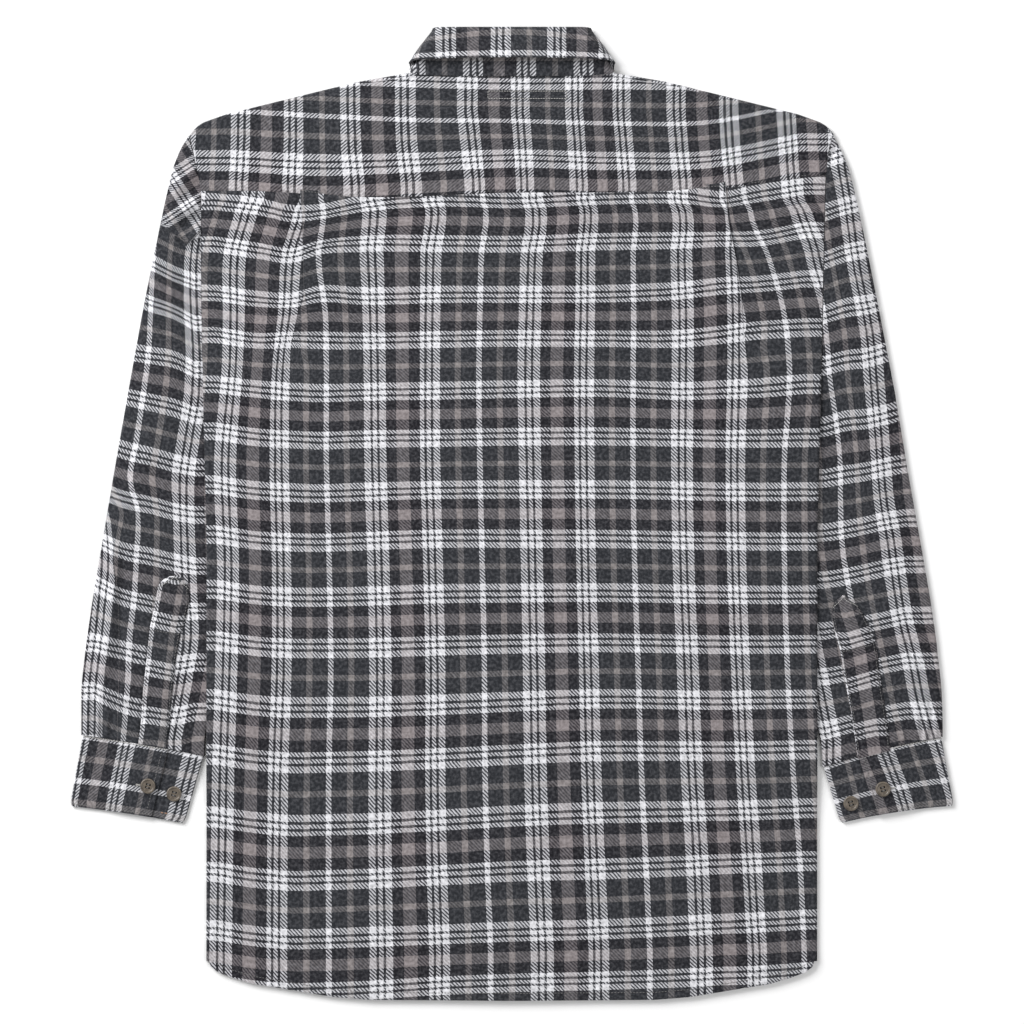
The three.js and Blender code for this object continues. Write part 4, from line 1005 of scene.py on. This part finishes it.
def sleeve_piece(side):
    """A sleeve: a flattened tube whose inner part lies under the body, gathered into its cuff."""
    rings = 240
    shares = np.concatenate([np.linspace(0, 0.5, 78), np.linspace(0.5, 1, 30)[1:]])
    x, y, ring = sleeve_lines(side, shares, rings)
    outer = ring["outer"][:, None]
    clear = np.abs(x) - edge_at(x, y)
    open_ = ease((clear - 12) / 24) * ease((outer - SLEEVE_END) / 40)
    folds = ridges(SLEEVE_FOLDS[side], x, y)
    swell = ease(shares / 0.2) * open_
    gather = ease(1 - (outer - SLEEVE_END) / CUFF_PLEAT["reach"]) * ease((outer - SLEEVE_END + 2) / 8)
    pleated = sum(
        height * np.exp(-(((shares - at) / CUFF_PLEAT["half"]) ** 2)) for at, height in zip(*CUFF_PLEATS.values())
    )
    fold_room = ease(shares / 0.03) * ease((clear + 2) / 5) * ease((outer - SLEEVE_END) / 30)
    z = TUBE + SLEEVE_CROWN * swell + folds * fold_room + pleated * gather * ease(shares * 20)
    z = z + 0.3 * np.sin(y / 11 + 3 * np.sin(x / 17)) * open_ * ease(shares / 0.1)
    z = z - 0.7 * (1 - ease((clear + 1) / 4)) * ease((outer - 150) / 30)
    z = z - 1.1 * np.exp(-((beside_tower(side, x, y) / 2.0) ** 2)) * ease((outer - SLEEVE_END) / 12)
    radius = TUBE / 2
    length = np.hypot(x[:, -1] - x[:, 0], y[:, -1] - y[:, 0])[:, None]
    bends = np.radians(np.linspace(0, 90, 6))[:-1]
    top = stack(x, y, z)

    def bent(end, angles, upper):
        share = radius * (1 - np.sin(angles if upper else angles))[None, :] / length
        share = share if end == 0 else 1 - share
        px = np.stack([np.interp(s, shares, row) for s, row in zip(share, x)])
        py = np.stack([np.interp(s, shares, row) for s, row in zip(share, y)])
        cosine = np.cos(angles)
        return px, py, cosine

    def side_points(end, angles):
        """Round one edge of the tube, from level with its middle to its top or underside."""
        share = radius * (1 - np.cos(angles))[None, :] / length
        share = share if end == 0 else 1 - share
        px = np.stack([np.interp(s, shares, row) for s, row in zip(share, x)])
        py = np.stack([np.interp(s, shares, row) for s, row in zip(share, y)])
        edge_top = z[:, 0] if end == 0 else z[:, -1]
        high = edge_top[:, None] / 2
        return stack(px, py, high + high * np.sin(angles)[None, :])

    up = np.radians(np.array([0, 22, 45, 68]))
    outer_up = side_points(0, up)
    inner_down = side_points(1, np.radians(np.array([68, 45, 22, 0, -22, -45, -68])))
    outer_down = side_points(0, np.radians(np.array([-68, -45, -22])))
    low_shares = np.linspace(0.97, 0.03, 40)
    lx = np.stack([np.interp(low_shares, shares, row) for row in x])
    ly = np.stack([np.interp(low_shares, shares, row) for row in y])
    under = stack(lx, ly, 0 * lx)
    inner_cut = radius / length
    keep_top = slice(3, -3)
    grid = np.concatenate([outer_up, top[:, keep_top], inner_down, under, outer_down], axis=1)
    upper = sleeve_cloth(side, top[:, keep_top, 0], top[:, keep_top, 1])
    fold_out = sleeve_cloth(side, outer_up[..., 0], outer_up[..., 1])
    turn_out = sleeve_cloth(side, x[:, :1], y[:, :1])[..., 0]
    turn_in = sleeve_cloth(side, x[:, -1:], y[:, -1:])[..., 0]
    inner_uv = sleeve_cloth(side, inner_down[..., 0], inner_down[..., 1])
    inner_uv[:, 3:, 0] = 2 * turn_in - inner_uv[:, 3:, 0]
    under_uv = sleeve_cloth(side, lx, ly)
    out_uv = sleeve_cloth(side, outer_down[..., 0], outer_down[..., 1])
    for part in (under_uv, out_uv):
        part[..., 0] = 2 * turn_in - part[..., 0]
    last = fold_out[:, :1].copy()
    last[..., 0] = 2 * turn_in - last[..., 0]
    cloth = np.concatenate([fold_out, upper, inner_uv, under_uv, out_uv, last], axis=1)
    made = shell(f"cloth_sleeve_{side}", grid, cloth, 0.8, facing="out", closed=True)
    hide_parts(f"sleeve_{side}")
    return made, top


# ---------------------------------------------------------------- places on a surface


class Surface:
    """The upper faces of some grids, to lay thin things on."""

    def __init__(self, *grids):
        self.points = np.concatenate([g.reshape(-1, 3) for g in grids])
        self.tree = kdtree.KDTree(len(self.points))
        for n, (x, y, _) in enumerate(self.points):
            self.tree.insert((x, y, 0), n)
        self.tree.balance()

    def height(self, x, y):
        found = self.tree.find_n((x, y, 0), 4)
        weights = [1 / (d + 0.05) for _, _, d in found]
        return sum(w * self.points[n][2] for w, (_, n, _) in zip(weights, found)) / sum(weights)

    def lay(self, xy, lift):
        return np.array([(x, y, self.height(x, y) + lift) for x, y in xy])


# ---------------------------------------------------------------- sleeve plackets

TOWER_WEFT = {
    "left": table("x a1 c1 a2", (-333, -96, -140.5, -184.5), (-310, -101.5, -145.5, -188.5)),
    "right": table("x c1 a2 c2", (308, -116.5, -158.3, -201), (335, -109, -150, -195)),
}


def tower_piece(side, surface):
    """A tower placket, pointed at its top, that lies on the sleeve."""
    rows = TOWERS[side]
    s = np.linspace(0, 1, 90)
    y_mid = mix(rows["y"].max(), rows["y"].min(), s**1.15)
    left = read_soft(rows, "y", y_mid, "left", 0.8)
    right = read_soft(rows, "y", y_mid, "right", 0.8)
    across = np.concatenate([[0, 0.012, 0.04], np.linspace(0.08, 0.92, 22), [0.96, 0.988, 1]])
    x = mix(left[:, None], right[:, None], across)
    slope = {"left": -0.16, "right": 0.24}[side]
    y = y_mid[:, None] + slope * (x - (left + right)[:, None] / 2) * ease(s * 3)[:, None]
    middle = 0.5 - np.abs(across - 0.5)
    lift = 0.9 + 0.8 * ease(middle / 0.06) - 0.3 * np.exp(-(((middle - 0.12) / 0.025) ** 2))
    z = np.array([[surface.height(a, b) for a, b in zip(ra, rb)] for ra, rb in zip(x, y)]) + lift
    u = 52.6 + x - left[:, None] if side == "left" else 124.9 + x - (left + right)[:, None] / 2
    grid = stack(x, y, z)
    made = shell(f"cloth_placket_{side}", grid, stack(u, weft_at(x, y, TOWER_WEFT[side])), 0.8)
    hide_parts(f"sleeve_placket_{side}")
    return made, grid


# ---------------------------------------------------------------- cuffs


def cuff_piece(side):
    """A cuff: a stiff band wound from its lap round both folds to the end under the lap."""
    arm = ARMS[side]
    radius = CUFF["radius"]
    low_ = STIFF / 2
    high = low_ + 2 * radius
    on_lap = high + STIFF + 0.4
    inset, bend = CUFF["inset"], CUFF["bend"]
    angles = np.radians(np.linspace(90, -90, 9))
    fold = [(bend * (1 - math.cos(a)), low_ + radius * (1 + math.sin(a))) for a in angles]
    winding = [(None, on_lap - 0.25), (-0.006, on_lap)]
    winding += [(at, on_lap) for at in np.linspace(0.68, 0.5, 10)]
    winding += [(at, mix(high, on_lap, ease((at - 0.26) / 0.24))) for at in np.linspace(0.48, 0.06, 22)]
    winding += [(inset + a, z) for a, z in fold]
    winding += [(at, low_) for at in np.linspace(0.05, 0.95, 30)]
    winding += [(1 - inset - a, z) for a, z in fold[::-1]]
    winding += [(at, high) for at in np.linspace(0.95, 0.52, 26)]
    downs = np.concatenate([[0, 0.008, 0.025], np.linspace(0.05, 0.9, 24), [0.93, 0.955, 0.975, 0.99, 1]])
    lap = mix(arm["lap"][0], arm["lap"][1], downs)
    corner = np.maximum(downs - CUFF["corner_from"], 0) / (1 - CUFF["corner_from"])
    rows = []
    for down, lap_at, round_ in zip(downs, lap, corner):
        row = []
        for at, z in winding:
            across = lap_at if at is None else (lap_at + at if at < 0 else at)
            across = mix(across, 0.5, CUFF["corner"] * round_**2)
            x, y = cuff_place(arm, across, down)
            row.append((x, y, z))
        rows.append(row)
    grid = np.array(rows)
    # a slack, slightly uneven surface, pressed down by the stitches along its edges
    near = np.minimum(downs, 1 - downs)[:, None]
    soft = 0.3 * ease(near / 0.1) - 0.16 * np.exp(-(((near - 0.075) / 0.02) ** 2))
    wavy = 0.16 * np.sin(grid[..., 0] / 9 + grid[..., 1] / 14) * ease(near / 0.2)
    grid[..., 2] += np.where(grid[..., 2] > high - 0.3, soft + wavy, 0)
    length = np.concatenate(
        [np.zeros((len(rows), 1)), np.cumsum(np.linalg.norm(np.diff(grid, axis=1), axis=2), axis=1)], axis=1
    )
    # the outer fold, the inner one, and the end under the lap
    turns = np.array([0, 38, 77, grid.shape[1] - 1])
    lines = CUFF_CLOTH[side]
    v = np.stack([stepped(row, row[turns], lines["v"]) for row in length])
    v = v + lines["lean"] * (1 - downs[:, None]) * (length < length[:, turns[1], None])
    u = lines["top"] + lines["down"] * downs[:, None] + 0 * length
    made = shell(f"cloth_cuff_{side}", grid, stack(u, v), STIFF, material=flannel_turned)
    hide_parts(f"cuff_{side}")
    return made, grid


# Weft coordinate of each cuff at its lap's end, its two folds and its other end; warp from the top down.
CUFF_CLOTH = {
    "left": {"v": [48.2, -36.5, -122, -174], "top": 15.0, "down": 62, "lean": 0},
    "right": {"v": [-23.4, 55, 106, 158], "top": 93.0, "down": -62, "lean": 7.4},
}

# ---------------------------------------------------------------- collar


def collar_points(lines, degrees, sign, settle, steps):
    """Smooth rows between the collar's lines, at turns from the centre back to the centre front."""
    at = np.linspace(0, len(lines["half"]) - 1, steps)
    index = {"n": np.arange(len(lines["half"]), dtype=float)}
    line = {name: read_curve({**index, name: lines[name]}, "n", at, name)[:, None] for name in lines}
    turn = np.radians(degrees)[None, :]
    share = np.abs(np.sin(turn))
    is_back = degrees[None, :] >= 0
    power = settle["power"]
    x = line["half"] * np.cos(turn) + np.where(is_back, 0, line["front_x"] * share**power)
    y = mix(line["side"], np.where(is_back, line["back"], line["front"]), np.where(is_back, share**0.4, share))
    z = mix(line["low"], line["high"], ease((degrees[None, :] + settle["before"]) / 30))
    z = z + settle["lap"] * ease((-57 - degrees[None, :]) / 10) * (sign > 0)
    return stack(sign * x, y, z)


def collar_piece(name, lines, settle, thick, steps, cloth_of_point, wrinkle):
    degrees = np.concatenate([np.linspace(90, 30, 30), np.linspace(28, -12, 30), np.linspace(-14, -90, 40)])
    left = collar_points(lines, degrees, -1, settle, steps)
    right = collar_points(lines, degrees, 1, settle, steps)
    grid = np.concatenate([left[:, ::-1], right[:, 1:]], axis=1)
    s = np.linspace(0, 1, steps)[:, None]
    across = np.linspace(-1, 1, grid.shape[1])[None, :]
    grid[..., 2] += wrinkle(s, across)
    made = shell(name, grid, cloth_of_point(grid, s, across), thick)
    return made, grid


def collar_pieces():
    """The stand, and the leaf that turns down over it, lifted along its free edge."""
    def along_edge(grid):
        """How far each point is from the middle of the back, along its row."""
        steps = np.linalg.norm(np.diff(grid, axis=1), axis=2)
        length = np.concatenate([np.zeros((len(grid), 1)), np.cumsum(steps, axis=1)], axis=1)
        return length - length[:, grid.shape[1] // 2][:, None]

    def down_cloth(grid):
        """How far each point is from the free edge, along its column."""
        steps = np.linalg.norm(np.diff(grid, axis=0), axis=2)
        return np.concatenate([np.cumsum(steps[::-1], axis=0)[::-1], np.zeros((1, grid.shape[1]))])

    def stand_cloth(grid, s, across):
        return stack(58 + s * 31, along_edge(grid) * 0.93 - 3.9)

    def leaf_cloth(grid, s, across):
        along = along_edge(grid)
        return stack(58.4 - down_cloth(grid), along * np.where(along < 0, 0.9, 0.97) + 17.5)

    stand, stand_grid = collar_piece(
        "cloth_collar_stand", STAND_LINES, {"before": 15, "lap": 2.4, "power": 8}, STAND, 20,
        stand_cloth, lambda s, across: 0.12 * np.sin(across * 21 + s * 2),
    )
    leaf, leaf_grid = collar_piece(
        "cloth_collar_leaf", LEAF_LINES, {"before": 2, "lap": 0, "power": 4}, STIFF, 60,
        leaf_cloth, lambda s, across: 0.35 * ease((s - 0.5) / 0.4) * np.sin(across * 17 + 1.1) * (np.abs(across) < 0.5),
    )
    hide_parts("collar_stand")
    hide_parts("collar_leaf")
    return (stand, stand_grid), (leaf, leaf_grid)


# ---------------------------------------------------------------- stitches


def stitch_shape():
    """One stitch along +X, a unit long: two tips and two rings."""
    ring = [(math.cos(a), math.sin(a)) for a in np.linspace(0, 2 * math.pi, 7)[:-1]]
    points = [(-0.5, 0, -0.6)] + [(-0.28, c, s) for c, s in ring] + [(0.28, c, s) for c, s in ring] + [(0.5, 0, -0.6)]
    faces = []
    for k in range(6):
        n = (k + 1) % 6
        faces += [(0, 1 + n, 1 + k), (1 + k, 1 + n, 7 + n, 7 + k), (7 + k, 7 + n, 13)]
    return np.array(points), faces


class Stitches:
    """Collects stitches of one thread and makes them one piece."""

    def __init__(self, name, material):
        self.name, self.material = name, material
        self.points, self.faces, self.count = [], [], 0
        self.shape, self.shape_faces = stitch_shape()

    def add(self, centre, direction, length, radius):
        direction = unit(np.array(direction, float))
        side = unit(np.cross([0, 0, 1], direction))
        up = np.cross(direction, side)
        local = self.shape * [length, radius, radius]
        self.points.append(np.array(centre) + local @ np.array([direction, side, up]))
        self.faces += [tuple(self.count + k for k in face) for face in self.shape_faces]
        self.count += len(self.shape)

    def along(self, path, pitch=3.1, length=2.3, radius=0.28, turned=0.0):
        """A row of stitches on a line of points. turned lays them across the line."""
        path = np.array(path, float)
        at = np.concatenate([[0], np.cumsum(np.linalg.norm(np.diff(path, axis=0), axis=1))])
        for s in np.arange(pitch / 2, at[-1], pitch):
            here = np.array([np.interp(s, at, path[:, k]) for k in range(3)])
            ahead = np.array([np.interp(min(s + 0.6, at[-1]), at, path[:, k]) for k in range(3)])
            back = np.array([np.interp(max(s - 0.6, 0), at, path[:, k]) for k in range(3)])
            direction = unit(ahead - back)
            if turned:
                direction = direction * math.cos(turned) + np.cross([0, 0, 1], direction) * math.sin(turned)
            self.add(here, direction, length, radius)

    def piece(self):
        made = mesh_object(self.name, np.concatenate(self.points), self.faces, self.material, sharp=80)
        return made


def on_grid(grid, rows, cols, lift=0.12):
    """Points of a grid at fractional rows and columns, lifted a little."""
    points = []
    for r, c in zip(*np.broadcast_arrays(rows, cols)):
        r = min(max(r, 0), grid.shape[0] - 1.001)
        c = min(max(c, 0), grid.shape[1] - 1.001)
        j, i = int(r), int(c)
        a = mix(grid[j, i], grid[j, i + 1], c - i)
        b = mix(grid[j + 1, i], grid[j + 1, i + 1], c - i)
        points.append(mix(a, b, r - j) + [0, 0, lift])
    return points


# ---------------------------------------------------------------- buttons

BUTTON = {"radius": 7.0, "thick": 2.4, "rim": 1.4, "dish": 0.8, "hole": 1.0, "spread": 1.5}


def button_mesh():
    """A four-hole button with a rounded rim and a dished middle."""
    r, t = BUTTON["radius"], BUTTON["thick"]
    rim, dish = BUTTON["rim"], BUTTON["dish"]
    profile = [(0, 0), (r * 0.82, 0), (r * 0.92, 0.25), (r * 0.985, 0.8), (r, t * 0.55), (r * 0.985, t * 0.78)]
    profile += [(r - rim * 0.35, t * 0.95), (r - rim * 0.65, t), (r - rim, t - 0.1), (r - rim - 0.45, t - dish * 0.8)]
    profile += [(r - rim - 0.9, t - dish), (r * 0.45, t - dish - 0.05), (0, t - dish - 0.1)]
    turns = 56
    points, faces = [(0, 0, 0)], []
    for radius, height in profile[1:-1]:
        points += [(radius * math.cos(a), radius * math.sin(a), height) for a in np.linspace(0, 2 * math.pi, turns + 1)[:-1]]
    points.append((0, 0, profile[-1][1]))
    rings = len(profile) - 2
    for k in range(turns):
        n = (k + 1) % turns
        faces.append((0, 1 + n, 1 + k))
        for ring in range(rings - 1):
            a, b = 1 + ring * turns, 1 + (ring + 1) * turns
            faces.append((a + k, a + n, b + n, b + k))
        last = 1 + (rings - 1) * turns
        faces.append((last + k, last + n, len(points) - 1))
    body = bpy.data.meshes.new("button blank")
    body.from_pydata([tuple(c / 1000 for c in p) for p in points], [], faces)
    blank = bpy.data.objects.new("button blank", body)
    bpy.context.scene.collection.objects.link(blank)
    cutters = []
    for sx in (-1, 1):
        for sy in (-1, 1):
            centre = (sx * BUTTON["spread"] / 1000, sy * BUTTON["spread"] / 1000, t / 2000)
            bpy.ops.mesh.primitive_cylinder_add(vertices=20, radius=BUTTON["hole"] / 1000, depth=0.006, location=centre)
            cutters.append(bpy.context.object)
    for cutter in cutters:
        cut = blank.modifiers.new("hole", "BOOLEAN")
        cut.operation = "DIFFERENCE"
        cut.object = cutter
    bpy.context.view_layer.update()
    mesh = bpy.data.meshes.new_from_object(blank.evaluated_get(bpy.context.evaluated_depsgraph_get()))
    for thing in (*cutters, blank):
        bpy.data.objects.remove(thing)
    mesh.name = "button"
    mesh.materials.clear()
    mesh.materials.append(horn)
    mesh.shade_smooth()
    mesh.set_sharp_from_angle(angle=math.radians(35))
    return mesh


def add_button(node_name, mesh, thread, face_down=False, turn=0.0):
    """A button where the frame has it, with two bars of thread through its holes."""
    low_, high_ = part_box(node_name)
    centre = (low_ + high_) / 2
    made = bpy.data.objects.new(node_name.replace("button", "horn_button"), mesh)
    bpy.context.scene.collection.objects.link(made)
    made.location = (centre.x, centre.y, high_.z if face_down else low_.z)
    made.rotation_euler = (math.pi if face_down else 0, 0, turn)
    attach(made, "root")
    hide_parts(node_name)
    raised = BUTTON["thick"] - BUTTON["dish"] + 0.1
    for side in (-1, 1):
        offset = np.array([-math.sin(turn), math.cos(turn), 0]) * side * BUTTON["spread"]
        middle = np.array([centre.x * 1000, centre.y * 1000, 0]) - SHIFT + offset
        middle[2] = high_.z * 1000 - raised if face_down else low_.z * 1000 + raised
        thread.add(middle, (math.cos(turn), math.sin(turn), 0), BUTTON["spread"] * 2 + 0.4, 0.3)
    return made


# ---------------------------------------------------------------- put together

back, back_grid = back_piece()
yoke, yoke_grid = yoke_piece()
fronts = {side: front_piece(side) for side in ("left", "right")}
band = front_band()
sleeves = {side: sleeve_piece(side) for side in ("left", "right")}
(stand, stand_grid), (leaf, leaf_grid) = collar_pieces()
towers, cuffs = {}, {}
for side in ("left", "right"):
    towers[side] = tower_piece(side, Surface(sleeves[side][1]))
    cuffs[side] = cuff_piece(side)

pale = Stitches("stitches_pale", light_thread)
charcoal = Stitches("stitches_charcoal", dark_thread)
tan = Stitches("stitches_tan", bar_thread)

# along each cuff's edges, up to its lap, and along the tower placket
for side in ("left", "right"):
    grid = cuffs[side][1]
    lap_columns = np.linspace(1.2, 35, 60)
    pale.along(on_grid(grid, np.full(60, 1.2), lap_columns, 0.3), pitch=2.5, length=2.3, radius=0.5)
    charcoal.along(on_grid(grid, np.linspace(2, 29, 30), np.full(30, 3.0)), pitch=2.8)
    charcoal.along(on_grid(grid, np.full(60, 28.5), lap_columns), pitch=2.8)
    grid = towers[side][1]
    for column in (2.4, grid.shape[1] - 3.4):
        charcoal.along(on_grid(grid, np.linspace(5, 88, 60), np.full(60, column)), pitch=2.8)
    for end in (1.2, grid.shape[1] - 2.2):
        tip = on_grid(grid, np.linspace(0.6, 9, 14), np.linspace(14, end, 14), 0.2)
        pale.along(tip, pitch=2.2, length=2.1, radius=0.26)
    charcoal.along(on_grid(grid, np.full(12, 34), np.linspace(2.4, grid.shape[1] - 3.4, 12)), pitch=2.6)

body_surface = Surface(back_grid, yoke_grid)
seam_x = np.linspace(-280, 280, 160)
charcoal.along(body_surface.lay(np.column_stack([seam_x, yoke_seam_at(seam_x) + 2.0]), 0.15), pitch=2.9)
hem_x = np.linspace(-276, 276, 200)
charcoal.along(body_surface.lay(np.column_stack([hem_x, hem_at(hem_x) + HEM_DEEP - 1]), 0.1), pitch=2.9)
leaf_rows = leaf_grid.shape[0] - 1
for column_range in ((20, leaf_grid.shape[1] - 20),):
    columns = np.linspace(*column_range, 220)
    charcoal.along(on_grid(leaf_grid, np.full(220, leaf_rows - 6.5), columns), pitch=2.8)

# the label's place inside the yoke shows as a thin stitched box
LABEL = {"left": -22, "right": 50, "top": 389.2, "bottom": 382.4}
corners = [(LABEL[a], LABEL[b]) for a, b in
           (("left", "top"), ("right", "top"), ("right", "bottom"), ("left", "bottom"), ("left", "top"))]
for a, b in zip(corners, corners[1:]):
    line = np.column_stack([np.linspace(a[k], b[k], 24) for k in (0, 1)])
    pale.along(body_surface.lay(line, 0.4), pitch=2.4, length=2.2, radius=0.28)

button = button_mesh()
for side in ("left", "right"):
    for number, (x, y, on_lap) in enumerate(ARMS[side]["buttons"], 1):
        add_button(f"cuff_button_{side}_{number}", button, charcoal, turn=0.3 * ARMS[side]["sign"])
for number in range(1, FRONT_BUTTONS + 1):
    add_button(f"front_button_{number}", button, pale, face_down=True)
add_button("collar_button", button, pale, face_down=True)

# the buttonhole shows beyond the button on each lap, and a tan bar holds the left cuff's lap
for side in ("left", "right"):
    sign = ARMS[side]["sign"]
    x, y, _ = ARMS[side]["buttons"][0]
    surface = Surface(cuffs[side][1][:, :40])
    hole = np.column_stack([x + sign * np.linspace(5, 11.5, 12), y + np.linspace(0.4, 1.2, 12)])
    pale.along(surface.lay(hole, 0.35), pitch=0.7, length=2.4, radius=0.3, turned=math.pi / 2)
surface = Surface(cuffs["left"][1][:, :40], cuffs["left"][1][:, 90:])
tan.along(surface.lay([(-323.8, -274.2), (-320, -274.8), (-316, -275.3)], 0.5), pitch=3.6, length=3.0, radius=0.5)

stitches = [s.piece() for s in (pale, charcoal, tan)]

# ---------------------------------------------------------------- floor, light and camera


def floor_material():
    """Matt white paper."""
    material, tree = new_material("matt white paper")
    place_ = node(tree, "ShaderNodeTexCoord").outputs["Object"]
    grain = node(tree, "ShaderNodeTexNoise", {"Vector": place_, "Scale": 60.0, "Detail": 4.0}).outputs[0]
    tone = node(tree, "ShaderNodeMix", {"Factor": grain, "A": srgb("fcfcfc"), "B": srgb("fefefe")}, data_type="RGBA")
    finish(tree, node(
        tree, "ShaderNodeBsdfPrincipled", {"Base Color": tone.outputs["Result"], "Roughness": 0.9, "Specular IOR Level": 0.1}
    ))
    return material


bpy.ops.mesh.primitive_plane_add(size=40, location=(0, 0, -0.0004))
floor = bpy.context.object
floor.name = "floor"
floor.data.materials.append(floor_material())

scene = bpy.context.scene
scene.view_settings.view_transform = "Standard"
world = bpy.data.worlds.new("soft white studio")
world.use_nodes = True
world.node_tree.nodes["Background"].inputs["Color"].default_value = (1, 1, 1, 1)
world.node_tree.nodes["Background"].inputs["Strength"].default_value = 0.38
scene.world = world


def area_light(name, place_, target, size, power):
    """A soft box that faces a point."""
    data = bpy.data.lights.new(name, "AREA")
    data.shape = "SQUARE"
    data.size = size
    data.energy = power
    lamp = bpy.data.objects.new(name, data)
    lamp.location = place_
    lamp.rotation_euler = (Vector(target) - Vector(place_)).to_track_quat("-Z", "Y").to_euler()
    scene.collection.objects.link(lamp)


area_light("soft box, upper left", (-2.45, 1.95, 2.1), (0, 0, 0), 2.1, 172)
area_light("soft box, right", (2.4, -0.6, 2.6), (0, 0, 0), 2.0, 34)

# Straight above, as far off as a long lens needs to take in the same 942 mm as the photograph.
VIEW_WIDTH = 0.942
LENS, SENSOR = 200.0, 36.0
camera_data = bpy.data.cameras.new("overhead")
camera_data.lens = LENS
camera_data.sensor_width = SENSOR
camera_data.clip_end = 30
camera = bpy.data.objects.new("overhead", camera_data)
camera.location = (SHIFT[0] / 1000, 0.0023, VIEW_WIDTH * LENS / SENSOR + 0.006)
scene.collection.objects.link(camera)
scene.camera = camera
